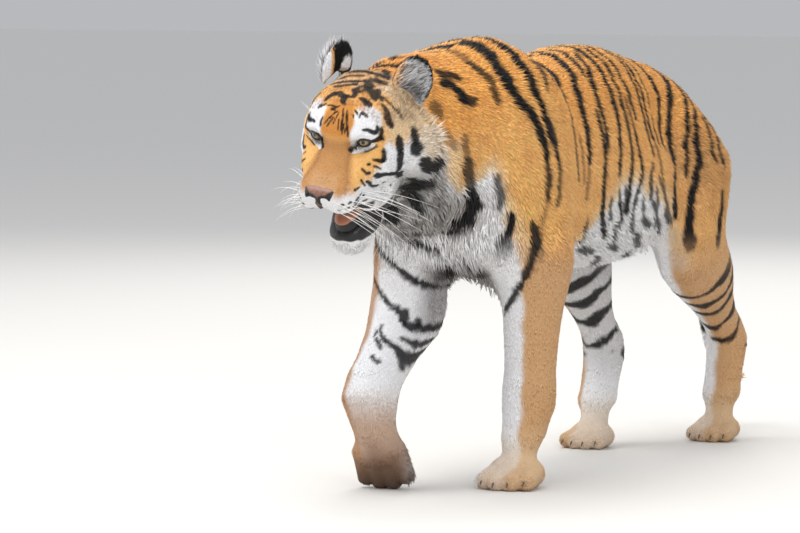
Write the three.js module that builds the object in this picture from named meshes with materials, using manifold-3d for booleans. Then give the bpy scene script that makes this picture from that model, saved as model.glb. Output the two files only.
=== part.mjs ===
// An adult Amur tiger, walking, with its head low, its mouth open and its right forepaw swinging forward.
// Millimetres, +Z up. The tiger faces -Y, and its left side is +X.
import * as THREE from "three";
import { mergeVertices } from "three/addons/utils/BufferGeometryUtils.js";
import Module from "manifold-3d";

const wasm = await Module();
wasm.setup();

const cutGap = 0.4; // between solids that were one body
const muscleBlend = 42; // how widely the muscles of trunk and legs flow into each other
const headBlend = 32;
const faceBlend = 13;
const toeBlend = 10;
const filletReach = 26;
const castStep = 5;
const castLimit = 420;
const blockWidth = 3000;
const groundLevel = -30; // in the frame that the joints are given in, where the withers are above y = 0
const eyeRadius = 19;
const eyeApart = 50; // from the middle of the face
const mouthOpen = THREE.MathUtils.degToRad(22);

// ---- points, fields and blends ----

const at = (x, y, z) => new THREE.Vector3(x, y, z);
const degrees = (angles) => angles.map(THREE.MathUtils.degToRad);
const mix = THREE.MathUtils.lerp;

// A field is negative inside its shape and grows with the distance from its surface.
function lobe(centre, radii, turn = [0, 0, 0]) {
  const unturn = new THREE.Quaternion().setFromEuler(new THREE.Euler(...degrees(turn), "ZXY")).invert();
  const smallest = Math.min(...radii);
  const q = at(0, 0, 0);
  return (p) => {
    q.copy(p).sub(centre).applyQuaternion(unturn);
    return (Math.hypot(q.x / radii[0], q.y / radii[1], q.z / radii[2]) - 1) * smallest;
  };
}

// A limb that tapers between two joints. wide under 1 flattens it from side to side.
function bone(from, to, fromRadius, toRadius, wide = 1) {
  const along = to.clone().sub(from);
  const squareLength = along.lengthSq();
  const q = at(0, 0, 0);
  return (p) => {
    q.copy(p).sub(from);
    const t = THREE.MathUtils.clamp(q.dot(along) / squareLength, 0, 1);
    q.addScaledVector(along, -t);
    return (Math.hypot(q.x / wide, q.y, q.z) - mix(fromRadius, toRadius, t)) * wide;
  };
}

function softMin(a, b, k) {
  const h = Math.max(k - Math.abs(a - b), 0) / k;
  return Math.min(a, b) - (h * h * k) / 4;
}
const blend = (k, fields) => (p) => fields.reduce((value, field) => softMin(value, field(p), k), 1e6);
const carve = (k, field, tool) => (p) => -softMin(-field(p), tool(p), k);
const grown = (field, by) => (p) => field(p) - by;
const bothSides = (make) => [-1, 1].map(make);

// ---- skins cast on a field ----

// How far the field's surface lies from a point inside it, along a direction.
function reachOf(field, origin, direction, limit) {
  const p = at(0, 0, 0);
  const value = (r) => field(p.copy(origin).addScaledVector(direction, r));
  let outside = castStep;
  while (outside < limit && value(outside) < 0) outside += castStep;
  if (outside >= limit) return limit;
  let inside = outside - castStep;
  for (let i = 0; i < 12; i++) {
    const middle = (inside + outside) / 2;
    if (value(middle) < 0) inside = middle;
    else outside = middle;
  }
  return inside;
}

// A closed skin: rings of rays leave a line inside the field at right angles to it, and a rounded end
// has more rings, whose rays lean over towards the line's own direction. Soles are flat on the ground.
function castSkin({ field, line, rings, sides, facing, roundStart, roundEnd, limit = () => castLimit }) {
  const stations = [];
  for (let i = roundStart; i > 0; i--) stations.push({ t: 0, lean: (-Math.PI / 2) * (i / (roundStart + 1)) });
  for (let i = 0; i < rings; i++) stations.push({ t: i / (rings - 1), lean: 0 });
  for (let i = 1; i <= roundEnd; i++) stations.push({ t: 1, lean: (Math.PI / 2) * (i / (roundEnd + 1)) });

  const positions = [];
  const put = (origin, direction) => {
    const p = origin.clone();
    p.addScaledVector(direction, reachOf(field, origin, direction, limit(origin, direction)));
    if (p.z < groundLevel + 0.05) p.z = groundLevel;
    positions.push(...p.toArray());
  };
  for (const { t, lean } of stations) {
    const origin = line.getPointAt(t);
    const along = line.getTangentAt(t);
    const across = facing.clone().cross(along).normalize();
    const over = along.clone().cross(across);
    for (let j = 0; j < sides; j++) {
      const turn = (2 * Math.PI * j) / sides;
      const direction = across.clone().multiplyScalar(Math.cos(turn)).addScaledVector(over, Math.sin(turn));
      direction.multiplyScalar(Math.cos(lean)).addScaledVector(along, Math.sin(lean));
      put(origin, direction);
    }
  }
  const poles = positions.length / 3;
  put(line.getPointAt(0), line.getTangentAt(0).negate());
  put(line.getPointAt(1), line.getTangentAt(1));

  const index = [];
  for (let i = 0; i < stations.length - 1; i++) {
    for (let j = 0; j < sides; j++) {
      const a = i * sides + j;
      const b = i * sides + ((j + 1) % sides);
      index.push(a, b, b + sides, a, b + sides, a + sides);
    }
  }
  const last = (stations.length - 1) * sides;
  for (let j = 0; j < sides; j++) {
    const k = (j + 1) % sides;
    index.push(poles, k, j, poles + 1, last + j, last + k);
  }
  return new THREE.BufferGeometry()
    .setAttribute("position", new THREE.Float32BufferAttribute(positions, 3))
    .setIndex(index);
}

// A line through joints, straight between them, and rounded off at each inner one by a reach of its own.
function limbLine(joints, reaches) {
  const line = new THREE.CurvePath();
  let start = joints[0];
  reaches.forEach((reach, i) => {
    const joint = joints[i + 1];
    const towards = (other) => joint.clone().lerp(other, reach / joint.distanceTo(other));
    const before = towards(joints[i]);
    const after = towards(joints[i + 2]);
    line.add(new THREE.LineCurve3(start, before));
    line.add(new THREE.QuadraticBezierCurve3(before, joint, after));
    start = after;
  });
  line.add(new THREE.LineCurve3(start, joints[joints.length - 1]));
  return line;
}

// ---- solids ----

function solidOf(geometry) {
  const bare = geometry.clone();
  bare.deleteAttribute("normal");
  bare.deleteAttribute("uv");
  const merged = mergeVertices(bare, 1e-3);
  return new wasm.Manifold(
    new wasm.Mesh({
      numProp: 3,
      vertProperties: new Float32Array(merged.attributes.position.array),
      triVerts: new Uint32Array(merged.index.array),
    }),
  );
}

function geometryOf(solid) {
  const mesh = solid.getMesh();
  const geometry = new THREE.BufferGeometry()
    .setAttribute("position", new THREE.BufferAttribute(mesh.vertProperties, 3))
    .setIndex(new THREE.BufferAttribute(mesh.triVerts, 1));
  geometry.computeVertexNormals();
  return geometry;
}

const skinOf = (shape) => solidOf(castSkin(shape));
// The same skin a cut's width further out, to cut what lies on it clear of it.
const clearanceOf = (shape) => skinOf({ ...shape, field: grown(shape.field, cutGap) });
const joined = (solids) => solids.reduce((whole, solid) => whole.add(solid));
const biggestOf = (solid) => solid.decompose().sort((a, b) => b.volume() - a.volume())[0];

// A block whose near face passes through a point, square to a direction, and shifted along it.
function block(through, towards, thickness, shift) {
  const geometry = new THREE.BoxGeometry(blockWidth, blockWidth, thickness).translate(0, 0, thickness / 2 + shift);
  const turn = new THREE.Quaternion().setFromUnitVectors(at(0, 0, 1), towards.clone().normalize());
  return solidOf(geometry.applyQuaternion(turn).translate(...through.toArray()));
}
const thinCut = (through, towards) => block(through, towards, cutGap, -cutGap / 2);
const beyond = (through, towards) => block(through, towards, blockWidth, cutGap / 2);
const reachingBeyond = (through, towards) => block(through, towards, blockWidth, -cutGap / 2);

// The pieces left by some thin cuts, in the order of points that lie inside them.
function piecesAt(solid, cuts, seeds) {
  const pieces = cuts.reduce((rest, cut) => rest.subtract(cut), solid).decompose();
  return seeds.map((seed) => {
    const probe = solidOf(new THREE.SphereGeometry(3, 6, 4).translate(...seed.toArray()));
    return pieces.find((piece) => !piece.intersect(probe).isEmpty());
  });
}

// ---- the head, in a frame of its own: origin between the eyes, level when the jaw is ----

const headPlace = new THREE.Matrix4().compose(
  at(-41, -540, 745),
  new THREE.Quaternion().setFromEuler(new THREE.Euler(...degrees([24, 9, -4]), "ZXY")),
  at(1, 1, 1),
);
const headTurn = new THREE.Quaternion().setFromRotationMatrix(headPlace);
const headInward = headPlace.clone().invert();
// left, forward and up in the head's frame, as a point of the body's frame
const onHead = (left, forward, up) => at(left, -forward, up).applyMatrix4(headPlace);
function headLobe(left, forward, up, radii, turn = [0, 0, 0]) {
  const local = lobe(at(left, -forward, up), radii, turn);
  const q = at(0, 0, 0);
  return (p) => local(q.copy(p).applyMatrix4(headInward));
}

const skull = [
  ...bothSides((s) => headLobe(s * 46, -86, 16, [66, 108, 76])), // brain case
  headLobe(0, -86, 22, [64, 108, 74]),
  headLobe(0, -150, 26, [96, 76, 74]), // nape
  ...bothSides((s) => headLobe(s * 90, -92, -32, [50, 74, 62])), // sides of the head
  headLobe(0, -24, -4, [84, 58, 44]), // forehead
  headLobe(0, -28, -60, [114, 92, 66]), // cheeks
  headLobe(0, -124, -84, [146, 72, 104]), // ruff
  ...bothSides((s) => headLobe(s * 112, -122, -90, [46, 56, 92], [0, s * 10, s * 18])), // cheek ruffs
];
const face = [
  blend(headBlend, skull),
  headLobe(0, 42, -52, [48, 88, 36], [27, 0, 0]), // nose bridge
  headLobe(0, 56, -92, [62, 66, 36], [4, 0, 0]), // upper jaw
  headLobe(0, 108, -88, [33, 20, 23]), // nose
  ...bothSides((s) => headLobe(s * 54, 20, -58, [36, 54, 38])), // under the eyes
  ...bothSides((s) => headLobe(s * 34, 60, -76, [34, 60, 32], [8, 0, 0])), // sides of the muzzle
  ...bothSides((s) => headLobe(s * 34, 80, -101, [34, 44, 33])), // whisker pads
  ...bothSides((s) => headLobe(s * 55, 2, -119, [33, 62, 40], [-8, 0, 0])), // lips at the sides
  ...bothSides((s) => headLobe(s * 64, -50, -116, [34, 46, 42])), // corners of the mouth
  ...bothSides((s) => headLobe(s * 47, 6, 18, [29, 24, 16], [24, s * 14, 0])), // brows
];
const eyeHollows = bothSides((s) => headLobe(s * (eyeApart + 3), 32, 1, [20, 21, 12]));
const headField = eyeHollows.reduce((field, hollow) => carve(12, field, hollow), blend(faceBlend, face));

// The lower jaw swings down about its hinge under the ears.
const jawHinge = { forward: -78, up: -50 };
function swung(forward, up) {
  const [f, u] = [forward - jawHinge.forward, up - jawHinge.up];
  const [c, s] = [Math.cos(mouthOpen), Math.sin(mouthOpen)];
  return [jawHinge.forward + f * c + u * s, jawHinge.up + u * c - f * s];
}
const jawLobe = (forward, up, radii) =>
  headLobe(0, ...swung(forward, up), radii, [THREE.MathUtils.radToDeg(mouthOpen), 0, 0]);
const jawField = blend(faceBlend, [
  jawLobe(78, -168, [43, 36, 46]), // chin
  jawLobe(22, -164, [60, 84, 44]),
  jawLobe(-46, -136, [76, 80, 48]),
]);
const tongueField = blend(faceBlend, [jawLobe(44, -116, [27, 48, 9]), jawLobe(0, -116, [30, 40, 14])]);

// ---- the body's muscles and coat, from the ribs outwards ----

const trunk = [
  lobe(at(0, 250, 652), [196, 430, 248]), // ribs
  lobe(at(0, -20, 588), [168, 182, 174]), // brisket
  lobe(at(0, 530, 590), [192, 330, 184]), // belly
  lobe(at(0, 450, 762), [158, 300, 171]), // loin
  lobe(at(0, 700, 745), [100, 240, 152], [-6, 0, 0]), // top of the rump
  lobe(at(0, 850, 712), [130, 220, 140], [-14, 0, 0]), // croup
  lobe(at(0, 0, 790), [92, 190, 146]), // withers
  lobe(at(50, -46, 857), [36, 60, 84], [0, 12, 0]), // left shoulder blade, pushed up by the loaded leg
  lobe(at(-60, -60, 840), [34, 66, 86], [0, -12, 0]),
  lobe(at(138, -10, 680), [78, 158, 226], [10, 0, 0]), // left shoulder
  lobe(at(-138, -70, 680), [78, 158, 226], [18, 0, 0]),
  bone(at(0, -60, 740), at(-34, -330, 762), 208, 138, 0.9), // neck
  lobe(at(-26, -290, 670), [140, 120, 160]), // throat
  lobe(at(-22, -285, 845), [84, 150, 76]), // nape
];

// Each leg's joints, and the way its toes point and spread. size is the foot's, and cut is where a
// slanting plane parts the leg from the trunk.
const forelegs = {
  left: {
    root: at(120, -10, 640), elbow: at(124, 16, 450), wrist: at(117, 6, 160), palm: at(112, -42, 2),
    toes: at(0.06, -1, -0.2), across: at(1, 0.06, 0), size: 1, cut: at(135, -60, 495),
  },
  right: {
    root: at(-120, -100, 640), elbow: at(-140, -64, 352), wrist: at(-139, -254, 178), palm: at(-131, -219, 55),
    toes: at(0.08, 0.36, -0.93), across: at(1, 0, 0.08), size: 1, cut: at(-135, -90, 503),
  },
};
const hindlegs = {
  left: {
    hip: at(104, 870, 690), knee: at(132, 800, 425), hock: at(112, 1076, 214), palm: at(100, 1050, -2),
    toes: at(0.04, -1, -0.2), across: at(1, 0.04, 0), size: 0.86, cut: at(110, 800, 622),
  },
  right: {
    hip: at(-104, 860, 690), knee: at(-130, 690, 440), hock: at(-101, 846, 196), palm: at(-96, 770, -3),
    toes: at(-0.04, -1, -0.2), across: at(1, -0.04, 0), size: 0.86, cut: at(-110, 760, 622),
  },
};

// The palm and four toes, at the end of the bones that come down from the wrist or hock.
function footFields({ palm, toes, across, size }) {
  const reach = toes.clone().normalize();
  const side = across.clone().normalize();
  const beside = (by, ahead) => palm.clone().addScaledVector(side, by * size).addScaledVector(reach, ahead * size);
  return [
    bone(beside(-22, 0), beside(22, 0), 42 * size, 42 * size),
    ...[-47, -16, 16, 47].map((by) =>
      bone(beside(by * 0.86, 0), beside(by, Math.abs(by) > 30 ? 58 : 70), 27 * size, 23 * size),
    ),
  ];
}

function forelegFields({ root, elbow, wrist, palm }) {
  const point = elbow.clone().add(at(0, 48, 8));
  return [
    bone(root, elbow, 98, 88, 0.9),
    bone(elbow, wrist, 82, 59, 0.98),
    bone(wrist, palm, 58, 48),
    bone(point, elbow, 36, 50),
  ];
}

function hindlegFields({ hip, knee, hock, palm }) {
  const heel = hock.clone().add(at(0, 24, 18));
  const ankle = palm.clone().lerp(hock, 0.35);
  const calf = knee.clone().lerp(hock, 0.3).add(at(0, 22, 14));
  const haunch = hip.clone().add(at(0, 72, -76));
  return [
    bone(hip.clone().add(at(0, -10, -58)), knee, 113, 92, 0.66),
    bone(haunch, knee.clone().add(at(0, 60, 20)), 107, 74, 0.74),
    bone(calf, hock, 78, 46, 0.84),
    bone(knee, calf, 84, 78, 0.84),
    bone(heel, ankle, 32, 40),
    bone(hock, palm, 43, 42),
  ];
}

const trunkField = blend(muscleBlend, trunk);
const limbs = [...Object.values(forelegs).map(forelegFields), ...Object.values(hindlegs).map(hindlegFields)];
const bodyField = blend(muscleBlend, [...trunk, ...limbs.flat()]);

const up = at(0, 0, 1);
const ahead = at(0, -1, 0);
const headUp = up.clone().applyQuaternion(headTurn);
const headAhead = ahead.clone().applyQuaternion(headTurn);

const trunkShape = {
  field: bodyField,
  line: new THREE.CatmullRomCurve3([
    at(0, 980, 705), at(0, 760, 690), at(0, 450, 650), at(0, 120, 660),
    at(0, -80, 680), at(-18, -230, 710), at(-32, -330, 750),
  ]),
  rings: 25,
  sides: 22,
  facing: up,
  roundStart: 3,
  roundEnd: 2,
  limit: (origin, direction) => reachOf(trunkField, origin, direction, castLimit) + filletReach,
};

// A leg's skin starts inside the trunk, and its rays stop soon after the leg's own surface.
function legSkin(leg, fields, joints, reaches, rings) {
  const foot = footFields(leg);
  const alone = blend(toeBlend, [blend(muscleBlend, fields), ...foot]);
  const tip = leg.palm.clone().addScaledVector(leg.toes.clone().normalize(), 40 * leg.size);
  return skinOf({
    field: blend(toeBlend, [bodyField, ...foot]),
    line: limbLine([...joints, leg.palm, tip], reaches),
    rings,
    sides: 14,
    facing: ahead,
    roundStart: 1,
    roundEnd: 4,
    limit: (origin, direction) => reachOf(alone, origin, direction, castLimit) + 2.4 * filletReach,
  });
}

const headShape = {
  field: headField,
  line: new THREE.CatmullRomCurve3([onHead(0, -150, -34), onHead(0, -40, -52), onHead(0, 80, -88)]),
  rings: 17,
  sides: 32,
  facing: headUp,
  roundStart: 1,
  roundEnd: 6,
};
const jawShape = {
  field: jawField,
  line: new THREE.LineCurve3(onHead(0, ...swung(-50, -126)), onHead(0, ...swung(84, -144))),
  rings: 7,
  sides: 14,
  facing: headUp,
  roundStart: 1,
  roundEnd: 3,
};
const tongueShape = {
  field: tongueField,
  line: new THREE.LineCurve3(onHead(0, ...swung(0, -120)), onHead(0, ...swung(70, -118))),
  rings: 4,
  sides: 10,
  facing: headUp,
  roundStart: 1,
  roundEnd: 2,
};

const tailLine = new THREE.CatmullRomCurve3([
  at(0, 960, 770), at(0, 1080, 735), at(0, 1150, 600), at(0, 1178, 430),
  at(0, 1210, 260), at(0, 1280, 140), at(0, 1385, 95),
]);
const tailJoints = tailLine.getSpacedPoints(14);
const tailGirth = (i) => mix(44, 26, i / 14);
const tailShape = {
  field: blend(
    10,
    tailJoints.slice(1).map((joint, i) => bone(tailJoints[i], joint, tailGirth(i), tailGirth(i + 1))),
  ),
  line: tailLine,
  rings: 16,
  sides: 10,
  facing: ahead,
  roundStart: 1,
  roundEnd: 2,
};
const tailAt = (share) => [tailLine.getPointAt(share), tailLine.getTangentAt(share)];

// ---- ears, eyes and nose ----

const earSize = { width: 43, depth: 17, height: 58, rim: 6 };
// The left ear is pricked forward and the right one is turned out and back.
const ears = {
  left: { seat: at(104, 122, 88), tilt: 16, turn: 34 },
  right: { seat: at(-88, 138, 84), tilt: -12, turn: -104 },
};
function earCup({ seat, tilt, turn }) {
  const { width, depth, height, rim } = earSize;
  const quaternion = new THREE.Quaternion().setFromEuler(new THREE.Euler(...degrees([-8, tilt, turn]), "ZYX"));
  const place = new THREE.Matrix4().compose(seat, quaternion, at(1, 1, 1)).premultiply(headPlace);
  const ball = new THREE.SphereGeometry(1, 12, 8);
  const outside = ball.clone().scale(width, depth, height);
  const inside = ball.clone().scale(width - rim, depth, height - rim).translate(0, rim - 19, 4);
  const [cup, hollow] = [outside, inside].map((geometry) => solidOf(geometry.applyMatrix4(place)));
  return cup.subtract(hollow);
}

function eyeball(side, radius) {
  const geometry = new THREE.SphereGeometry(radius, 12, 8).rotateX(Math.PI / 2);
  return solidOf(geometry.translate(side * eyeApart, -5, 3).applyMatrix4(headPlace));
}

const nosePad = solidOf(
  new THREE.SphereGeometry(1, 10, 6).scale(41, 17, 23).rotateX(0.35).translate(0, -117, -86).applyMatrix4(headPlace),
);

// ---- joining the body, and parting it at its joints ----

const solids = new Map();
let body = skinOf(trunkShape);

const tail = skinOf(tailShape);
piecesAt(
  tail.intersect(beyond(...tailAt(0.22))),
  [thinCut(...tailAt(0.48)), thinCut(...tailAt(0.74))],
  [0.35, 0.6, 0.9].map((share) => tailLine.getPointAt(share)),
).forEach((piece, i) => solids.set(["tail_root", "tail_middle", "tail_tip"][i], piece));
body = body.add(tail.subtract(reachingBeyond(...tailAt(0.22))));

// A leg is joined to the body first, so that both follow the joined outline, and then cut off it. It
// keeps to its own side of the body.
function addLeg(skin, cut, names, cuts, seeds) {
  const side = [at(0, 0, 0), at(cut[0].x, 0, 0)];
  const ownSide = skin.intersect(beyond(...side));
  const whole = body.add(ownSide);
  body = whole.subtract(reachingBeyond(...cut).intersect(reachingBeyond(...side)));
  const leg = whole.intersect(beyond(...cut)).intersect(beyond(...side));
  piecesAt(leg, cuts, seeds).forEach((piece, i) => solids.set(names[i], piece));
}
for (const [side, leg] of Object.entries(forelegs)) {
  const { root, elbow, wrist, palm, cut } = leg;
  const forearm = wrist.clone().sub(elbow);
  addLeg(
    legSkin(leg, forelegFields(leg), [root, elbow, wrist], [60, 64, 26], 19),
    [cut, at(Math.sign(root.x) * 0.66, -0.2, -0.72)],
    ["upper_arm_" + side, "forearm_" + side, "forepaw_" + side],
    [
      thinCut(elbow.clone().addScaledVector(forearm, 0.12), forearm),
      thinCut(wrist.clone().lerp(palm, 0.2), palm.clone().sub(wrist)),
    ],
    [elbow.clone().addScaledVector(forearm, -0.06), elbow.clone().lerp(wrist, 0.5), palm],
  );
}
for (const [side, leg] of Object.entries(hindlegs)) {
  const { hip, knee, hock, palm, cut } = leg;
  const behindKnee = knee.clone().add(at(0, 34, 8));
  addLeg(
    legSkin(leg, hindlegFields(leg), [hip.clone().lerp(behindKnee, 0.1), behindKnee, hock], [96, 52, 26], 21),
    [cut, at(Math.sign(hip.x) * 0.74, 0.42, -0.55)],
    ["thigh_" + side, "shank_" + side, "hindpaw_" + side],
    [
      thinCut(knee.clone().lerp(hock, 0.42), hock.clone().sub(knee)),
      thinCut(hock.clone().lerp(palm, 0.3), palm.clone().sub(hock)),
    ],
    [hip.clone().lerp(knee, 0.8), knee.clone().lerp(hock, 0.7), palm],
  );
}

const sockets = joined(bothSides((side) => eyeball(side, eyeRadius + cutGap)));
piecesAt(
  body.add(skinOf(headShape)).subtract(sockets),
  [thinCut(onHead(0, -158, -20), headAhead), thinCut(at(0, -170, 700), at(-0.08, -0.96, 0.26))],
  [onHead(0, -60, -40), at(-16, -270, 720), at(0, 400, 650)],
).forEach((piece, i) => solids.set(["head", "neck", "trunk"][i], piece));

const aroundHead = clearanceOf(headShape).add(clearanceOf(trunkShape));
solids.set("jaw", biggestOf(skinOf(jawShape).subtract(aroundHead)));
solids.set("tongue", biggestOf(skinOf(tongueShape).subtract(aroundHead.add(clearanceOf(jawShape)))));
solids.set("nose", biggestOf(nosePad.subtract(aroundHead)));
solids.set("ear_left", biggestOf(earCup(ears.left).subtract(aroundHead)));
solids.set("ear_right", biggestOf(earCup(ears.right).subtract(aroundHead)));
solids.set("eye_left", eyeball(1, eyeRadius));
solids.set("eye_right", eyeball(-1, eyeRadius));

// ---- colours, and the origin at the bottom centre ----

const coat = new THREE.MeshStandardMaterial({ color: 0xc98a4b, roughness: 0.92, metalness: 0 });
const paleCoat = new THREE.MeshStandardMaterial({ color: 0xd9cfc2, roughness: 0.92, metalness: 0 });
const noseSkin = new THREE.MeshStandardMaterial({ color: 0xb07560, roughness: 0.5, metalness: 0 });
const tongueSkin = new THREE.MeshStandardMaterial({ color: 0xc8785f, roughness: 0.4, metalness: 0 });
const eye = new THREE.MeshStandardMaterial({ color: 0x9a8a3c, roughness: 0.1, metalness: 0 });
const materialOf = (name) => {
  if (name === "nose") return noseSkin;
  if (name === "tongue") return tongueSkin;
  if (name === "jaw" || name.startsWith("ear")) return paleCoat;
  return name.startsWith("eye") ? eye : coat;
};

const tiger = new THREE.Group();
for (const [name, solid] of solids) {
  const mesh = new THREE.Mesh(geometryOf(solid), materialOf(name));
  mesh.name = name;
  tiger.add(mesh);
}
const bounds = new THREE.Box3().setFromObject(tiger, true);
const middle = bounds.getCenter(at(0, 0, 0));
tiger.position.set(-middle.x, -middle.y, -groundLevel);

export default tiger;
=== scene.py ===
# Amur tiger in winter coat, walking. The left side is +X, the head points to -Y, and the ground is z = 0.
import math

import bpy
import numpy as np
from mathutils import Matrix, Vector


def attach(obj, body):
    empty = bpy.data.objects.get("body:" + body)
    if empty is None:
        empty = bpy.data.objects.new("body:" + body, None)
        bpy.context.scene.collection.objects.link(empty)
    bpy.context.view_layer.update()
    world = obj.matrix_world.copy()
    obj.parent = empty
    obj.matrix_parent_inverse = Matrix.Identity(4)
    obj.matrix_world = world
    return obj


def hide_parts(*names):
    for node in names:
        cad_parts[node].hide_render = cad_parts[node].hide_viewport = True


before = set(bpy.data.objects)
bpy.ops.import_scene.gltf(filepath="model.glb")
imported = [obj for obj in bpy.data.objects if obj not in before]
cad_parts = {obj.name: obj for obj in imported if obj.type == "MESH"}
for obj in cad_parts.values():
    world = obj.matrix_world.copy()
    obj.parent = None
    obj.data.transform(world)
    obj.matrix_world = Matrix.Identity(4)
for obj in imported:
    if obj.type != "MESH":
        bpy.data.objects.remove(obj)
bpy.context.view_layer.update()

random = np.random.default_rng(7)  # the same coat on every run
scene = bpy.context.scene
scene.view_settings.view_transform = "Standard"


# small helpers
def linear(code):
    parts = [int(code[i:i + 2], 16) / 255 for i in (1, 3, 5)]
    return [c / 12.92 if c <= 0.04045 else ((c + 0.055) / 1.055) ** 2.4 for c in parts]


def addNode(tree, kind, settings=None, links=None):
    node = tree.nodes.new(kind)
    for key, value in (settings or {}).items():
        if hasattr(node, key):
            setattr(node, key, value)
        else:
            node.inputs[key].default_value = value
    for key, source in (links or {}).items():
        tree.links.new(source, node.inputs[key])
    return node


def newMaterial(name):
    made = bpy.data.materials.new(name)
    made.use_nodes = True
    made.node_tree.nodes.clear()
    return made, made.node_tree


def finishMaterial(tree, shader):
    addNode(tree, "ShaderNodeOutputMaterial", {}, {"Surface": shader.outputs[0]})


def selectOnly(piece):
    bpy.ops.object.select_all(action="DESELECT")
    piece.select_set(True)
    bpy.context.view_layer.objects.active = piece


def applyModifiers(piece):
    selectOnly(piece)
    for modifier in list(piece.modifiers):
        bpy.ops.object.modifier_apply(modifier=modifier.name)


def pointsOf(mesh):
    found = np.empty(len(mesh.vertices) * 3, np.float32)
    mesh.vertices.foreach_get("co", found)
    return found.reshape(-1, 3).astype(float)


def putPoints(mesh, points):
    mesh.vertices.foreach_set("co", points.astype(np.float32).ravel())
    mesh.update()


def normalsOf(mesh):
    found = np.empty(len(mesh.vertices) * 3, np.float32)
    mesh.vertices.foreach_get("normal", found)
    return found.reshape(-1, 3).astype(float)


def meshFromArrays(name, points, faces):
    mesh = bpy.data.meshes.new(name)
    sides = faces.shape[1]
    mesh.vertices.add(len(points))
    mesh.vertices.foreach_set("co", points.astype(np.float32).ravel())
    mesh.loops.add(faces.size)
    mesh.loops.foreach_set("vertex_index", faces.astype(np.int32).ravel())
    mesh.polygons.add(len(faces))
    mesh.polygons.foreach_set("loop_start", np.arange(0, faces.size, sides, dtype=np.int32))
    mesh.polygons.foreach_set("use_smooth", np.ones(len(faces), bool))
    mesh.update(calc_edges=True)
    piece = bpy.data.objects.new(name, mesh)
    scene.collection.objects.link(piece)
    return piece


def putColours(mesh, name, colours):
    layer = mesh.color_attributes.new(name, "FLOAT_COLOR", "POINT")
    rgba = np.ones((len(colours), 4), np.float32)
    rgba[:, :3] = colours
    layer.data.foreach_set("color", rgba.ravel())


def unit(vectors):
    return vectors / np.maximum(np.linalg.norm(vectors, axis=-1, keepdims=True), 1e-9)


def smoothStep(low, high, values):
    t = np.clip((values - low) / (high - low), 0, 1)
    return t * t * (3 - 2 * t)


def ripple(points, size, seed=0):
    # a slow wavy noise between about -1 and 1; size is its wavelength in metres
    p = points * (2 * math.pi / size)
    a = np.sin(p[:, 0] + 1.7 * np.sin(p[:, 1] * 0.7 + seed) + seed)
    b = np.sin(p[:, 1] * 1.3 + 1.4 * np.sin(p[:, 2] * 0.9 + 2 * seed) + 1.1 * seed)
    c = np.sin(p[:, 2] * 1.1 + 1.6 * np.sin(p[:, 0] * 0.8 - seed) + 2.3 * seed)
    return (a + b + c) / 2


# camera, floor and lights
view = {
    "azimuth": 28, "elevation": 4, "distance": 10, "lens": 207,
    "withers": (0.003, -0.39, 0.98), "across": -0.174, "down": 0.505,
}
floorPlan = {"size": 90, "colour": "#d6d2cb"}
roomPlan = {"horizon": "#c6c7ca", "above": "#e6ebf4", "strength": 0.85}
lampPlans = {  # size, power, place and aim
    "skyLight": (6.0, 430, (-1.0, -1.6, 6.5), (0, -0.1, 0.5)),
    "windowLight": (4.0, 170, (5.0, -5.0, 3.2), (0, -0.2, 0.5)),
    "fillLight": (5.0, 90, (-6.0, -3.5, 2.2), (0, -0.2, 0.5)),
    "backLight": (3.0, 120, (-2.0, 6.0, 4.0), (0, 0.2, 0.6)),
}


def makeStage():
    a, e = math.radians(view["azimuth"]), math.radians(view["elevation"])
    right = Vector((math.cos(a), math.sin(a), 0))
    back = Vector((math.sin(a) * math.cos(e), -math.cos(a) * math.cos(e), math.sin(e)))
    up = back.cross(right)
    aim = Vector(view["withers"]) + right * view["across"] - up * view["down"]
    bpy.ops.object.camera_add(location=aim + back * view["distance"])
    camera = bpy.context.object
    camera.rotation_euler = (-back).to_track_quat("-Z", "Y").to_euler()
    camera.data.lens = view["lens"]
    camera.data.clip_end = 200
    scene.camera = camera

    for name, (size, power, place, target) in lampPlans.items():
        bpy.ops.object.light_add(type="AREA", location=place)
        lamp = bpy.context.object
        lamp.name = name
        lamp.data.energy = power
        lamp.data.size = size
        lamp.rotation_euler = (Vector(target) - Vector(place)).to_track_quat("-Z", "Y").to_euler()
    world = bpy.data.worlds.new("paleRoom")
    scene.world = world
    world.use_nodes = True
    # the room is as pale as the far floor near the horizon and brighter and a little cooler above
    tree = world.node_tree
    where = addNode(tree, "ShaderNodeTexCoord")
    split = addNode(tree, "ShaderNodeSeparateXYZ", {}, {"Vector": where.outputs["Generated"]})
    height = addNode(tree, "ShaderNodeMapRange", {"From Min": 0.02, "From Max": 0.35},
                     {"Value": split.outputs["Z"]})
    tone = addNode(tree, "ShaderNodeMix", {"data_type": "RGBA"}, {"Factor": height.outputs["Result"]})
    tone.inputs[6].default_value = (*linear(roomPlan["horizon"]), 1)
    tone.inputs[7].default_value = (*linear(roomPlan["above"]), 1)
    tree.links.new(tone.outputs[2], tree.nodes["Background"].inputs["Color"])
    tree.nodes["Background"].inputs["Strength"].default_value = roomPlan["strength"]

    bpy.ops.mesh.primitive_plane_add(size=floorPlan["size"])
    floor = bpy.context.object
    floor.name = "floor"
    paint, tree = newMaterial("matte painted floor")
    shader = addNode(tree, "ShaderNodeBsdfPrincipled", {
        "Base Color": (*linear(floorPlan["colour"]), 1), "Roughness": 0.9})
    finishMaterial(tree, shader)
    floor.data.materials.append(paint)


makeStage()
print("stage made")


# where things are on the body
headPlan = {  # the point between the eyes, and the middle of the head as millimetres back and down from it
    "eyes": (-0.0382, -0.930, 0.775), "pitch": 24, "roll": 9, "yaw": -4, "middleBack": 60, "middleDown": 40,
}
trunkPlan = {"middle": 0.003, "core": 0.66}  # where the line runs that the girth is measured round


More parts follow.
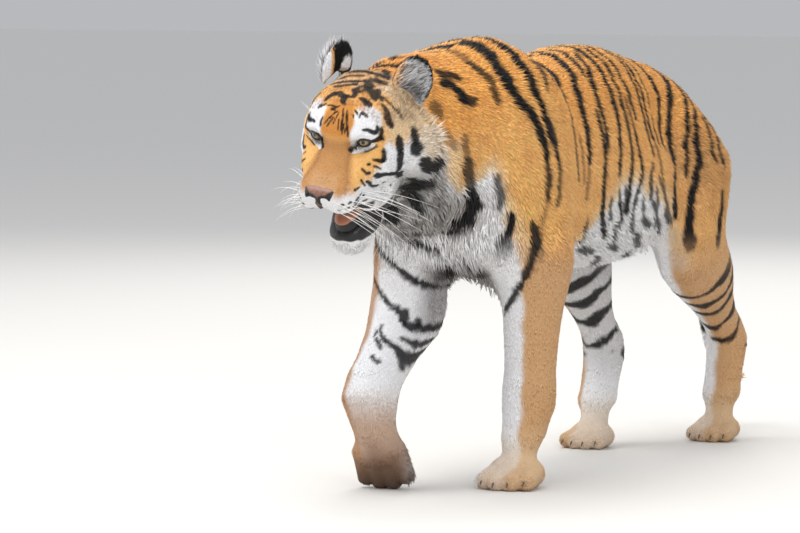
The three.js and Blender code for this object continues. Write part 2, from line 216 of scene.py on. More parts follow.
def turned(pitch, roll, yaw):
    around = lambda axis, angle: Matrix.Rotation(math.radians(angle), 3, axis)
    return np.array(around("Z", yaw) @ around("X", pitch) @ around("Y", roll))


headTurn = turned(headPlan["pitch"], headPlan["roll"], headPlan["yaw"])
headPlace = np.array(headPlan["eyes"])


def toHead(points):
    # left, forward and up of the point between the eyes, in millimetres
    local = (points - headPlace) @ headTurn * 1000
    return local * [1, -1, 1]


def fromHead(local):
    return (np.asarray(local, float) * [1, -1, 1] / 1000) @ headTurn.T + headPlace


def headAngles(local):
    # how far round from the front and how high, in degrees, seen from the middle of the head
    ahead = local[:, 1] + headPlan["middleBack"]
    above = local[:, 2] + headPlan["middleDown"]
    turn = np.degrees(np.arctan2(local[:, 0], ahead))
    return turn, np.degrees(np.arctan2(above, np.hypot(local[:, 0], ahead)))


limbs = {  # the joints of each leg, from the top down to the ends of the toes
    "foreLeft": [(0.123, -0.400, 0.670), (0.127, -0.374, 0.480), (0.120, -0.384, 0.190),
                 (0.115, -0.432, 0.032), (0.119, -0.500, 0.018)],
    "foreRight": [(-0.117, -0.490, 0.670), (-0.137, -0.454, 0.382), (-0.136, -0.644, 0.208),
                  (-0.128, -0.609, 0.085), (-0.122, -0.584, 0.020)],
    "hindLeft": [(0.107, 0.480, 0.720), (0.135, 0.410, 0.455), (0.115, 0.686, 0.244),
                 (0.103, 0.660, 0.028), (0.105, 0.600, 0.016)],
    "hindRight": [(-0.101, 0.470, 0.720), (-0.127, 0.300, 0.470), (-0.098, 0.456, 0.226),
                  (-0.093, 0.380, 0.027), (-0.095, 0.320, 0.016)],
}
limbTops = {"fore": (0.47, 0.56), "hind": (0.50, 0.66)}  # the heights over which a leg goes into the trunk
tailLine = [(0.003, 0.570, 0.800), (0.003, 0.690, 0.765), (0.003, 0.760, 0.630), (0.003, 0.788, 0.460),
            (0.003, 0.820, 0.290), (0.003, 0.890, 0.170), (0.003, 0.995, 0.125)]


def alongSegments(points, joints):
    # distance from a chain of bones, millimetres along it, the direction there, and the nearest point on it
    best = np.full(len(points), 1e9)
    along = np.zeros(len(points))
    direction = np.zeros((len(points), 3))
    nearest = np.zeros((len(points), 3))
    start = 0
    for a, b in zip(joints, joints[1:]):
        a, b = np.array(a), np.array(b)
        length = np.linalg.norm(b - a)
        t = np.clip((points - a) @ (b - a) / length ** 2, 0, 1)
        foot = a + t[:, None] * (b - a)
        gap = np.linalg.norm(points - foot, axis=1)
        closer = gap < best
        best[closer] = gap[closer]
        along[closer] = (start + t[closer] * length) * 1000
        direction[closer] = (b - a) / length
        nearest[closer] = foot[closer]
        start += length
    return best, along, direction, nearest


def bodyMap(points):
    # everything about where the points lie that the coat and its markings need
    m = {"p": points}
    x, y, z = points.T
    m["side"] = np.where(x > 0, 1.0, -1.0)
    m["head"] = toHead(points)
    m["az"], m["el"] = headAngles(m["head"])
    m["girth"] = np.degrees(np.arctan2(np.abs(x - trunkPlan["middle"]), z - trunkPlan["core"]))
    inHead = smoothStep(-190, -135, m["head"][:, 1]) * smoothStep(-300, -250, m["head"][:, 2])
    m["headness"] = inHead * (y < -0.58) * smoothStep(0.44, 0.50, z)
    m["legness"] = np.zeros(len(points))
    m["leg"] = {}
    for name, joints in limbs.items():
        gap, along, direction, nearest = alongSegments(points, joints)
        fore = name.startswith("fore")
        low, high = limbTops["fore" if fore else "hind"]
        own = (np.sign(x) == np.sign(joints[0][0])) & (gap < 0.17)
        amount = own * (1 - smoothStep(low, high, z)) * (m["headness"] < 0.5)
        amount *= smoothStep(0.03, 0.08, np.abs(x)) if fore else 1.0
        m["leg"][name] = {"amount": amount, "along": along, "direction": direction, "nearest": nearest}
        m["legness"] = np.maximum(m["legness"], amount)
    gap, along, direction, nearest = alongSegments(points, tailLine)
    m["tailness"] = smoothStep(0.66, 0.72, y) * (gap < 0.07) * (1 - smoothStep(0.055, 0.07, gap))
    m["tail"] = {"along": along, "direction": direction, "nearest": nearest}
    return m


# one skin over the whole body
skinPlan = {
    "voxel": 0.0095, "grow": 0.0012, "smoothing": 15, "faceCuts": 2, "lidCuts": 1, "footCuts": 1,
    "lowest": 0.0005,
}
footPlan = {  # the feet's scale, how far across each toe lies, and lengths and radii in millimetres
    "fore": 1.0, "hind": 0.86, "toes": (-47, -16, 16, 47), "rootsCloser": 0.86, "outerReach": 58,
    "innerReach": 70, "toeRoot": 24, "toeTip": 21.5, "pad": 38, "padHalf": 22, "wrist": 36, "upTheLeg": 0.8,
}
coatDepths = {  # millimetres from the outline of the coat down to the skin
    "body": 13.0, "throat": 6, "nose": 3, "behindNose": 9, "cheeks": 2, "leg": 7, "foot": 3.5, "tail": 9,
}
fleshNodes = [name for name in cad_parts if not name.startswith(("eye", "nose", "tongue", "ear"))]

faceForms = [  # left, forward, up, radii, turn; a form off the middle is on both sides
    (46, -86, 16, (66, 108, 76), (0, 0, 0)), (0, -86, 22, (64, 108, 74), (0, 0, 0)),
    (0, -150, 26, (96, 76, 74), (0, 0, 0)), (90, -92, -32, (50, 74, 62), (0, 0, 0)),
    (0, -24, -4, (84, 58, 44), (0, 0, 0)), (0, -28, -60, (114, 92, 66), (0, 0, 0)),
    (0, -124, -84, (146, 72, 104), (0, 0, 0)), (112, -122, -90, (46, 56, 92), (0, 10, 18)),
]
muzzleForms = [
    (0, 42, -52, (47, 88, 36), (27, 0, 0)), (0, 56, -92, (60, 66, 36), (4, 0, 0)),
    (0, 106, -88, (31, 20, 23), (0, 0, 0)), (54, 20, -58, (36, 54, 38), (0, 0, 0)),
    (34, 60, -76, (34, 60, 32), (8, 0, 0)), (35, 80, -101, (34, 44, 33), (0, 0, 0)),
    (55, 2, -119, (33, 62, 40), (-8, 0, 0)), (64, -50, -116, (34, 46, 42), (0, 0, 0)),
    (47, 6, 18, (29, 24, 16), (24, 14, 0)),
    # the cheek closes the mouth behind its corner, and the flews hang to it
    (60, -42, -150, (24, 46, 38), (0, 0, 0)), (48, -4, -140, (18, 44, 26), (-18, 0, 0)),
    (76, -60, -84, (34, 44, 52), (0, 0, 0)),
]
faceCuts = [  # the same, but cut away: eye hollow, roof of the mouth, split of the upper lip
    (53, 32, -1, (20, 21, 12), (0, 0, 0), 12), (0, 50, -140, (33, 62, 22), (0, 0, 0), 9),
    (0, 128, -122, (2.2, 16, 16), (0, 0, 0), 5),
]
jawForms = [(0, 78, -172, (44, 37, 47)), (0, 22, -168, (61, 86, 46)), (0, -46, -138, (76, 80, 50))]
jawCut = (0, 44, -128, (30, 56, 13))
jawPlan = {"hinge": (-78, -50), "open": 22}


def lobeField(local, left, forward, up, radii, turn=(0, 0, 0)):
    # millimetres outside one egg-shaped form
    q = (local * [1, -1, 1] - [left, -forward, up]) @ turned(turn[0], turn[1], turn[2])
    return (np.linalg.norm(q / radii, axis=1) - 1) * min(radii)


def softMin(a, b, k):
    # the lower of two, joined by a round fillet of k millimetres
    h = np.maximum(k - np.abs(a - b), 0) / k
    return np.minimum(a, b) - h * h * k / 4


def blended(local, forms, k):
    # millimetres outside a group of egg-shaped forms
    value = np.full(len(local), 1e6)
    for left, forward, up, radii, turn in forms:
        for side in (1, -1) if left else (1,):
            sideTurn = (turn[0], turn[1] * side, turn[2] * side)
            value = softMin(value, lobeField(local, left * side, forward, up, radii, sideTurn), k)
    return value


def swung(left, forward, up):
    # where a place on the closed jaw comes to when the mouth opens
    hinge, angle = jawPlan["hinge"], math.radians(jawPlan["open"])
    f, u = forward - hinge[0], up - hinge[1]
    return (left, hinge[0] + f * math.cos(angle) + u * math.sin(angle),
            hinge[1] + u * math.cos(angle) - f * math.sin(angle))


def headField(local):
    # millimetres outside the whole head: skull and muzzle, less the cuts, with the open jaw
    value = softMin(blended(local, faceForms, 32), blended(local, muzzleForms, 13), 13)
    for left, forward, up, radii, turn, k in faceCuts:
        for side in (1, -1) if left else (1,):
            value = -softMin(-value, lobeField(local, left * side, forward, up, radii, turn), k)
    turn = (jawPlan["open"], 0, 0)
    jaw = np.full(len(local), 1e6)
    for left, forward, up, radii in jawForms:
        jaw = softMin(jaw, lobeField(local, *swung(left, forward, up), radii, turn), 13)
    jaw = -softMin(-jaw, lobeField(local, *swung(*jawCut[:3]), jawCut[3], turn), 9)
    return softMin(value, jaw, 7)


def onField(local, field, depth, rounds=4):
    # moves each point onto the surface that lies that depth inside the form
    for _ in range(rounds):
        value = field(local) + depth
        step = 0.5
        slope = np.stack([(field(local + step * axis) - field(local - step * axis)) / (2 * step)
                          for axis in np.eye(3)], 1)
        size = np.maximum((slope ** 2).sum(1), 0.15)
        local = local - np.clip(value / size, -8, 8)[:, None] * slope
    return local


def coatDepth(m):
    f, u = m["head"][:, 1], m["head"][:, 2]
    depth = np.full(len(f), coatDepths["body"])
    throat = m["p"][:, 1] < -0.42
    depth += coatDepths["throat"] * smoothStep(95, 130, m["girth"]) * throat
    face = coatDepths["nose"] + coatDepths["behindNose"] * smoothStep(0, -110, f)
    face = face + coatDepths["cheeks"] * smoothStep(-60, -120, u)
    depth += (face - depth) * m["headness"]
    depth += (coatDepths["leg"] - depth) * m["legness"]
    for leg in m["leg"].values():
        depth += (coatDepths["foot"] - depth) * leg["amount"] * smoothStep(0.14, 0.08, m["p"][:, 2])
    return depth + (coatDepths["tail"] - depth) * m["tailness"]


def footForms(name, joints):
    # four toes side by side, the pad behind them and the foot up to the joint above
    size = footPlan["fore" if name.startswith("fore") else "hind"]
    palm, tip = np.array(joints[3]), np.array(joints[4])
    ahead = (tip - palm) / np.linalg.norm(tip - palm)
    side = np.array([1.0, 0, 0]) - ahead * ahead[0]
    side /= np.linalg.norm(side)
    forms = []
    for by in footPlan["toes"]:
        reach = footPlan["outerReach" if abs(by) == max(footPlan["toes"]) else "innerReach"]
        start = palm + side * by * footPlan["rootsCloser"] * size / 1000
        end = palm + (side * by + ahead * reach) * size / 1000
        forms.append((start, end, footPlan["toeRoot"] * size, footPlan["toeTip"] * size))
    half, pad = side * (footPlan["padHalf"] / 1000) * size, footPlan["pad"] * size
    forms.append((palm - half, palm + half, pad, pad))
    shin = palm + (np.array(joints[2]) - palm) * footPlan["upTheLeg"]
    forms.append((palm, shin, pad, footPlan["wrist"] * size))
    return forms


def footField(points, forms):
    # millimetres outside a foot's tapered rods
    value = np.full(len(points), 1e6)
    for a, b, ra, rb in forms:
        t = np.clip((points - a) @ (b - a) / max(((b - a) ** 2).sum(), 1e-9), 0, 1)
        gap = np.linalg.norm(points - a - t[:, None] * (b - a), axis=1) * 1000 - (ra + (rb - ra) * t)
        value = softMin(value, gap, 6)
    return value


def makeSkin():
    copies = []
    for name in fleshNodes:
        copy = bpy.data.objects.new("flesh_" + name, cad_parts[name].data.copy())
        scene.collection.objects.link(copy)
        copies.append(copy)
    bpy.ops.object.select_all(action="DESELECT")
    for copy in copies:
        copy.select_set(True)
    bpy.context.view_layer.objects.active = copies[0]
    bpy.ops.object.join()
    skin = bpy.context.object
    skin.name = skin.data.name = "skin"
    bpy.ops.object.mode_set(mode="EDIT")
    bpy.ops.mesh.select_all(action="SELECT")
    bpy.ops.mesh.remove_doubles(threshold=0.00001)
    bpy.ops.transform.shrink_fatten(value=skinPlan["grow"])
    bpy.ops.object.mode_set(mode="OBJECT")
    remesh = skin.modifiers.new("remesh", "REMESH")
    remesh.mode = "VOXEL"
    remesh.voxel_size = skinPlan["voxel"]
    applyModifiers(skin)

    m = bodyMap(pointsOf(skin.data))
    feet = 1 - smoothStep(0.09, 0.14, m["p"][:, 2])
    softness = np.clip(1 - 0.75 * feet - 0.6 * m["headness"] - 0.3 * m["legness"], 0.1, 1)
    group = skin.vertex_groups.new(name="softness")
    for level in np.unique(np.round(softness, 1)):
        chosen = np.nonzero(np.round(softness, 1) == level)[0]
        group.add(chosen.tolist(), float(level), "REPLACE")
    smooth = skin.modifiers.new("smooth", "SMOOTH")
    smooth.factor = 0.6
    smooth.iterations = skinPlan["smoothing"]
    smooth.vertex_group = "softness"
    applyModifiers(skin)
    skin.vertex_groups.clear()

    # finer faces on the front of the head, round the eyes and on the feet
    def onFront(m):
        return (m["headness"] > 0.9) & (m["head"][:, 1] > -52)

    def onLids(m):
        return np.min([np.linalg.norm(m["p"] - eyeFrame(side)[0], axis=1) for side in (1, -1)], 0) < 0.036

    def onFeet(m):
        return m["p"][:, 2] < 0.115

    for place, cuts in ((onFront, "faceCuts"), (onLids, "lidCuts"), (onFeet, "footCuts")):
        chosen = place(bodyMap(pointsOf(skin.data)))
        mesh = skin.data
        mesh.vertices.foreach_set("select", np.zeros(len(mesh.vertices), bool))
        mesh.edges.foreach_set("select", np.zeros(len(mesh.edges), bool))
        corners = np.empty(len(mesh.loops), np.int32)
        mesh.loops.foreach_get("vertex_index", corners)
        starts = np.empty(len(mesh.polygons), np.int32)
        mesh.polygons.foreach_get("loop_start", starts)
        picked = np.minimum.reduceat(chosen[corners].astype(int), starts).astype(bool)
        mesh.polygons.foreach_set("select", picked)
        selectOnly(skin)
        bpy.ops.object.mode_set(mode="EDIT")
        bpy.ops.mesh.select_mode(type="FACE")
        bpy.ops.mesh.subdivide(number_cuts=skinPlan[cuts], smoothness=0)
        bpy.ops.object.mode_set(mode="OBJECT")
    return skin


def shapeSkin(skin):
    mesh = skin.data
    points = pointsOf(mesh)
    m = bodyMap(points)
    depth = coatDepth(m)

    # head: onto smooth forms; elsewhere: straight in by the coat's depth
    onHead = m["headness"] > 0.02
    amount = smoothStep(-125, -95, m["head"][onHead, 1])[:, None] * m["headness"][onHead, None]
    local = m["head"][onHead]
    formed = onField(local, headField, depth[onHead])
    inward = points - normalsOf(mesh) * depth[:, None] / 1000
    inward[onHead] += (fromHead(formed) - inward[onHead]) * amount
    points = inward

    for name, joints in limbs.items():
        forms = footForms(name, joints)
        gap = footField(points, forms)
        near = (np.abs(gap) < 16) & (m["p"][:, 2] < 0.13)
        local = points[near] * 1000
        field = lambda q, forms=forms: footField(q / 1000, forms)
        formed = onField(local, field, np.zeros(near.sum())) / 1000
        high = 1 - smoothStep(0.07, 0.12, m["p"][near, 2])
        points[near] += (formed - points[near]) * high[:, None]
    points[:, 2] = np.maximum(points[:, 2], skinPlan["lowest"])
    putPoints(mesh, points)
    bpy.ops.object.select_all(action="DESELECT")
    smooth = skin.modifiers.new("settle", "SMOOTH")
    smooth.factor = 0.5
    smooth.iterations = 1
    applyModifiers(skin)


# the eyes' places and the lids round them
eyePlan = {
    "radius": 0.0190, "left": (54.6, 5, 10), "right": (-53, 5, 6), "iris": 0.0112, "pupil": 0.0042,
    "lidHalf": 51, "corners": -14, "upperLid": 35, "lowerLid": 17, "slant": 14, "rim": 0.0021, "outwards": 15,
    "bulge": 0.0012, "lidThick": 0.0022, "hidden": 0.0045, "rimOut": 0.0010, "clearOfCoat": 0.0030,
}


def eyeFrame(side):
    # centre of the ball, and axes across (outwards), ahead and up
    centre = fromHead(eyePlan["left" if side > 0 else "right"])
    gaze = headTurn @ turned(0, 0, side * eyePlan["outwards"])
    across, ahead, up = gaze[:, 0] * side, -gaze[:, 1], gaze[:, 2]
    s = math.radians(eyePlan["slant"])
    tilted = across * math.cos(s) + up * math.sin(s)
    return centre, tilted, ahead, up * math.cos(s) - across * math.sin(s)


def lidHeight(h):
    # height of the upper and lower lid at h, from -1 at the inner corner to 1 at the outer one
    gape = np.clip(1 - h * h, 0, 1) ** 0.75
    return (eyePlan["corners"] + eyePlan["upperLid"] * gape * (1 - 0.12 * h),
            eyePlan["corners"] - eyePlan["lowerLid"] * gape * (1 + 0.10 * h))


def shapeLids(skin):
    points = pointsOf(skin.data)
    for side in (1, -1):
        centre, across, ahead, up = eyeFrame(side)
        away = points - centre
        gap = np.linalg.norm(away, axis=1)
        a, f, u = away @ across, away @ ahead, away @ up
        near = (gap < 0.042) & (f > -0.004)
        h = np.degrees(np.arctan2(a, f)) / eyePlan["lidHalf"]
        v = np.degrees(np.arctan2(u, np.hypot(a, f)))
        top, low = lidHeight(h)
        beside = (np.abs(h) - 1) * eyePlan["lidHalf"]
        outside = np.maximum(np.maximum(v - top, low - v), beside)
        lid = eyePlan["radius"] + eyePlan["lidThick"] - 0.0008 * smoothStep(6, 0, outside)
        hidden = eyePlan["radius"] - eyePlan["hidden"]
        fade = smoothStep(0.040, 0.026, gap) * smoothStep(-0.004, 0.006, f)
        # the lids lie on the ball and blend into the brow and the cheek; between them the skin goes behind it
        onward = lid + (gap - lid) * smoothStep(5, 26, outside)
        wanted = np.where(outside > 0, np.maximum(lid, onward), hidden)
        moved = centre + away / gap[:, None] * wanted[:, None]
        points[near] += (moved[near] - points[near]) * fade[near, None]
    putPoints(skin.data, points)


skin = makeSkin()
shapeSkin(skin)
shapeLids(skin)
print("skin", len(skin.data.vertices), "points")


# the colours and markings of the coat
coatColours = {
    "back": "#ebaa5a", "flank": "#f0b773", "shoulder": "#f0b86f", "buff": "#ead0aa", "white": "#eeedee",
    "grey": "#a29e9a", "black": "#0c0a0a", "dirtAndShade": "#3a3028", "brown": "#7a4c28", "bridge": "#bf8a54",
    "forehead": "#cd8a44", "leg": "#c8965c", "tan": "#b98e68", "paw": "#7f614c", "lip": "#0d0b0c",
}
tint = {name: np.array(linear(code)) for name, code in coatColours.items()}
# how the strokes are laid: millimetres to a degree round the trunk and on the face, and how much wider
# than its listed width each kind of stroke is drawn: times the first, plus the second in millimetres
strokePlan = {
    "trunkDegree": 4.4, "faceDegree": 2.3, "flank": (1.14, 6.5), "brownEdge": 7, "belly": (1, 7),
    "chest": (1, 3.5), "crown": (1.6, 3), "face": (1.22, 1.6),
}


def widened(kind, start, end, more=0.0):
    times, plus = strokePlan[kind]
    return (start * (times + more) + plus, end * (times + more) + plus)


# The stripes of the left flank. Each has its width in millimetres at the upper and the lower end, how dark it
# is, and the places it passes: centimetres along the body, then degrees round it from the spine.
flankStripes = [
    (13, 16, 0.5, [(-53, 3), (-54.5, 8), (-56.5, 16)]),
    (15, 9, 0.8, [(-56.5, 14), (-56, 21), (-56, 28), (-57, 37)]),
    (20, 19, 1, [(-47, -2), (-48.5, 6), (-50, 15), (-51.5, 20)]),
    (10, 10, 0.9, [(-45.5, -2), (-47, 6), (-49, 13)]),
    (18, 14, 1, [(-51, 18), (-52.4, 27), (-52.7, 34), (-52.4, 41), (-51, 47)]),
    (15, 10, 1, [(-51, 46), (-49.5, 52), (-48, 60), (-46.8, 67), (-46.1, 78)]),
    (9, 6, 0.85, [(-46.2, 76), (-45.6, 88), (-45.4, 100)]),
    (7, 6, 0.35, [(-45.4, 98), (-45.4, 112), (-45, 126)]),
    (7, 10, 0.9, [(-45, 125), (-45.3, 134), (-46, 144)]),
    (14, 18, 1, [(-42, -2), (-43.7, 10), (-44.8, 20), (-46.2, 27), (-47.2, 34)]),
    (19, 14, 1, [(-47.2, 33), (-47.4, 40), (-46.7, 45)]),
    (10, 9, 0.95, [(-46.7, 44), (-46.1, 50), (-45.5, 57), (-44.8, 64)]),
    (9, 9, 0.85, [(-45.4, 54), (-44, 61), (-43, 67)]), (9, 8, 0.9, [(-44.8, 63), (-43, 71), (-42, 78)]),
    (8, 6, 0.75, [(-42, 77), (-42, 90), (-42.5, 104)]),
    (5, 5, 0.85, [(-40.5, 26), (-42.2, 35), (-42.6, 42)]),
    (5, 4, 0.75, [(-39, 26), (-41, 34), (-41.8, 40)]),
    (9, 8, 0.85, [(-35, -2), (-36.5, 14), (-37.5, 28), (-36.5, 40)]),
    (10, 11, 0.95, [(-18, 2), (-19.5, 12), (-20.6, 22), (-23.5, 30)]),
    (11, 10, 0.95, [(-23.5, 29), (-26.5, 38), (-28.6, 46), (-30, 54)]),
    (9, 9, 0.7, [(-30, 53), (-30.5, 64), (-30.4, 76), (-29, 90)]),
    (9, 8, 0.9, [(-27, -2), (-28.5, 10), (-30.5, 22), (-33, 32)]),
    (7, 8, 0.45, [(-26, 60), (-26, 74), (-25, 92)]),
    (12, 16, 1, [(-9, -2), (-10.5, 9), (-12.4, 18), (-14, 25), (-16, 31)]),
    (17, 14, 1, [(-16, 30), (-18.4, 40), (-20.3, 50), (-21, 60)]),
    (13, 10, 0.9, [(-21, 59), (-21.6, 70), (-22, 80)]), (9, 7, 0.5, [(-22, 79), (-22.6, 90), (-22, 104)]),
    (8, 8, 0.9, [(-4.5, 0), (-6, 10), (-7.6, 17), (-9, 26)]),
    (6, 9, 0.95, [(-2.5, 10), (-4.6, 20), (-7.4, 28), (-9.4, 36)]),
    (10, 10, 0.95, [(-9.4, 35), (-10.4, 45), (-11.2, 56), (-12, 70)]),
    (6, 9, 0.95, [(-12.8, 46), (-13.6, 56), (-13.5, 66)]),
    (10, 9, 0.95, [(-13.5, 65), (-13.9, 80), (-14.3, 92)]),
    (8, 13, 0.95, [(-14.2, 91), (-13.7, 102), (-12.6, 112), (-10.5, 122)]),
    (14, 12, 0.9, [(-10.5, 121), (-8, 128), (-5, 135)]),
    (9, 12, 1, [(1.5, 0), (0.6, 10), (-0.4, 20), (-1.6, 30), (-2.5, 40)]),
    (11, 9, 0.95, [(-2.5, 39), (-3.1, 50), (-3.6, 60)]),
    (10, 9, 0.95, [(-3.6, 59), (-4.8, 70), (-5.6, 79), (-6.3, 90)]),
    (5, 6, 0.95, [(-5.6, 99), (-4.5, 108), (-2, 117), (0, 127)]),
    (6, 8, 0.95, [(5, 8), (3.6, 20), (2.4, 30), (1.6, 40)]),
    (9, 9, 0.85, [(1.6, 39), (1.5, 50), (2.4, 60), (2.4, 69)]),
    (9, 8, 0.9, [(2.4, 68), (1.9, 80), (0.6, 90)]),
    (8, 11, 0.95, [(0.4, 89), (0, 100), (0, 110), (1, 118)]),
    (7, 7, 0.9, [(8.5, 8), (7.4, 20), (6.8, 30), (6.8, 41), (8.2, 52)]),
    (5, 5, 0.7, [(4.4, 40), (4.8, 50), (6.2, 60)]),
    (6, 8, 0.9, [(6.2, 58), (6.6, 68), (7, 80), (6.8, 89)]),
    (9, 7, 0.95, [(6.8, 88), (5.4, 97), (3.6, 105), (3.6, 116)]),
    (8, 9, 0.95, [(14.5, 6), (14.3, 18), (13.3, 30), (13.3, 40), (14, 49)]),
    (9, 8, 0.85, [(14, 48), (15, 58), (15.8, 69), (15.4, 78)]),
    (7, 10, 0.8, [(14, 82), (11.6, 90), (11, 98), (11, 109)]),
    (10, 12, 1, [(19, 2), (18, 13), (16.8, 24), (17, 32), (16.6, 42)]),
    (12, 8, 0.95, [(16.6, 41), (17.5, 52), (19, 64)]),
    (8, 7, 0.6, [(19, 64), (19.6, 76), (18, 90), (18.5, 104)]),
    (7, 7, 0.85, [(24, 6), (23.5, 18), (22.6, 30), (22.8, 40)]),
    (6, 7, 0.8, [(23, 44), (23.8, 56), (23.2, 70)]),
    (9, 12, 1, [(30, 1), (32, 12), (32.6, 22), (32.4, 31), (31, 39)]),
    (12, 9, 0.95, [(31, 38), (29.6, 48), (28.6, 60), (27.4, 72)]),
    (10, 14, 1, [(39, 0), (42, 10), (42.3, 20), (38.6, 30), (36.2, 40)]),
    (14, 13, 1, [(36.2, 39), (34.4, 50), (33.6, 60), (33, 69)]),
    (16, 16, 1, [(33, 68), (32, 80), (30.2, 91), (27.2, 100)]),
    (16, 12, 0.95, [(27.2, 99), (27.6, 110), (28.4, 118), (31, 127)]),
    (9, 11, 1, [(44, 0), (46.5, 10), (48.4, 20), (47.3, 32)]),
    (10, 10, 0.95, [(47.3, 31), (44, 42), (42, 50), (41, 59)]),
    (10, 8, 0.95, [(41, 58), (38.7, 70), (37.5, 80), (36.6, 90), (36, 98)]),
    (8, 10, 0.95, [(50, 4), (52, 18), (51, 30), (49, 41)]),
    (10, 14, 1, [(49, 40), (45.7, 51), (43.5, 61)]),
    (14, 18, 1, [(43.5, 60), (42, 74), (41.7, 86), (40.6, 94)]),
    (18, 16, 1, [(40.6, 93), (39.3, 101), (37.5, 109), (36.8, 118)]),
    (16, 14, 1, [(36.8, 117), (36, 125), (35, 131), (34, 138)]),
    (6, 7, 0.85, [(52, 46), (50, 58), (48.6, 69), (47.3, 79), (48.4, 87)]),
    (7, 7, 0.85, [(54, 36), (53.6, 48), (53.6, 66), (51.4, 79), (52.6, 91)]),
    (7, 6, 0.85, [(56, 8), (56.6, 20), (56, 34)]),
    (10, 12, 0.9, [(50.6, 108), (49.6, 117), (46.7, 126), (43, 132)]),
    (7, 8, 0.7, [(16, 92), (16.6, 98), (18.6, 105), (20.6, 112), (24, 120), (30, 131)]),
]
# dark marks on the white fur under the flank
bellyMarks = [
    (12, 18, [(-2, 98), (-1.4, 108), (-0.4, 116)]), (6, 8, [(-19, 118), (-17, 128), (-16, 138)]),
    (5, 8, [(-9, 104), (-8, 114), (-6, 122)]), (8, 12, [(-23, 130), (-22, 142), (-21, 150)]),
    (6, 8, [(14, 100), (14.6, 108), (16, 114)]), (8, 8, [(21, 118), (24, 124), (28, 130)]),
    (10, 8, [(-2, 124), (-1, 132), (1, 137)]), (8, 8, [(7, 106), (8, 113), (9.5, 118)]),
    (14, 16, [(9, 121), (12, 125), (15, 128)]), (14, 12, [(12.4, 110), (16, 119), (18.4, 129)]),
    (18, 22, [(-15, 142), (-10, 145), (-5, 148)]), (14, 16, [(0, 140), (3.5, 144), (7, 147)]),
    (9, 12, [(3.5, 118), (5, 126), (8, 132)]), (16, 14, [(10, 133), (13, 140), (18, 146)]),
    (8, 10, [(18, 124), (22, 131), (25, 138)]), (18, 20, [(-20, 146), (-16, 156), (-12, 168)]),
    (16, 18, [(-30, 146), (-26, 156), (-22, 168)]), (14, 16, [(0, 152), (6, 162), (10, 172)]),
    (14, 16, [(14, 150), (20, 160), (24, 172)]),
]
neckMarks = [
    (9, 10, 0.85, [(-69, 11), (-67.5, 13.5), (-65, 15), (-62.8, 18)]),
    (10, 13, 0.9, [(-69.5, 16), (-67.4, 18), (-66, 21)]),
    (14, 20, 0.95, [(-66, 21), (-65.4, 25), (-64.6, 28)]),
    (15, 10, 0.85, [(-64.4, 28.5), (-63, 29.5), (-61.8, 30)]),
    (15, 12, 0.6, [(-75, 21), (-73.4, 24), (-72.6, 28)]),
    (10, 9, 0.4, [(-73, 35), (-71.5, 42), (-70, 50)]),
    (8, 17, 0.5, [(-67.2, 43), (-66.6, 52), (-66.2, 62)]),
    (24, 30, 0.8, [(-66.2, 60), (-65.2, 71), (-64, 82), (-62.4, 92)]),
    (30, 24, 0.9, [(-62.4, 91), (-60.6, 101), (-58.7, 112), (-57.6, 122)]),
    (18, 12, 0.9, [(-57.6, 121), (-57, 133), (-57, 143), (-57.8, 152), (-59, 163)]),
    (4, 5, 0.75, [(-57.2, 79), (-56, 89), (-55, 99), (-54.2, 113)]),
    (4, 11, 0.95, [(-52, 112), (-51, 122), (-50.4, 132), (-50, 140)]),
    (11, 12, 0.95, [(-50, 139), (-49, 148), (-47.6, 158), (-45.4, 168), (-43.6, 175)]),
    (16, 18, 0.75, [(-82, 54), (-80.6, 62)]), (22, 20, 0.7, [(-80.5, 76), (-79, 86)]),
    (16, 14, 0.45, [(-70, 112), (-68, 130), (-67, 150)]), (12, 12, 0.5, [(-74, 92), (-72.6, 104)]),
]
# lines of the chest and of the right foreleg, seen from in front: centimetres across, then up
chestMarks = [
    (8, 9, [(-17, 52.8), (-14.2, 49.8), (-11, 47.5)]),
    (10, 15, [(-11.2, 47.6), (-9.8, 45.7), (-7.9, 44.6)]),
    (14, 7, [(-8, 44.7), (-6.8, 43.8), (-5.6, 43)]),
    (6, 9, [(-19.4, 45.6), (-17, 42.8), (-14.4, 40.5), (-12, 38.9)]),
    (9, 15, [(-12, 38.9), (-10, 37.8), (-9.5, 36)]),
    (15, 9, [(-9.5, 36), (-8, 34.8), (-5.6, 34), (-3.2, 32)]), (4, 3, [(-7.8, 36.8), (-7.3, 34.9)]),
    (4, 3, [(-6.2, 37.2), (-5.2, 35)]), (4, 6, [(-14.2, 35.4), (-12.9, 33.4), (-11.3, 31.8)]),
    (8, 13, [(-11.6, 32.4), (-9.6, 31), (-7.9, 28.8), (-6.9, 25.2)]),
    (5, 7, [(-9.4, 33), (-7.6, 31.4), (-6.2, 29)]), (4, 4, [(-15.2, 34.4), (-13.6, 32.3), (-11.6, 30.7)]),
    (4, 5, [(-13.4, 29.6), (-12.3, 28.6), (-10.7, 28.1)]), (5, 4, [(2.6, 50), (1.8, 47), (1, 44.8)]),
    (5, 4, [(-2.6, 47.8), (-1.6, 45.8), (-0.4, 44.4)]),
    (10, 14, [(17.5, 58), (17.3, 53), (16, 48.5), (14.2, 45)]),
    (14, 9, [(14.2, 45), (12, 42), (9.6, 39.4), (8.4, 37.8)]),
    (14, 20, [(-14, 60), (-11.6, 57.2), (-10, 55.4)]),
    (19, 10, [(-10, 55.6), (-7.8, 53.6), (-5, 52.2), (-1.8, 51.4)]),
    (8, 7, [(-6, 61), (-3, 59.6), (0, 59)]), (9, 8, [(-1, 56.4), (2, 55.6), (5, 56.4)]),
]
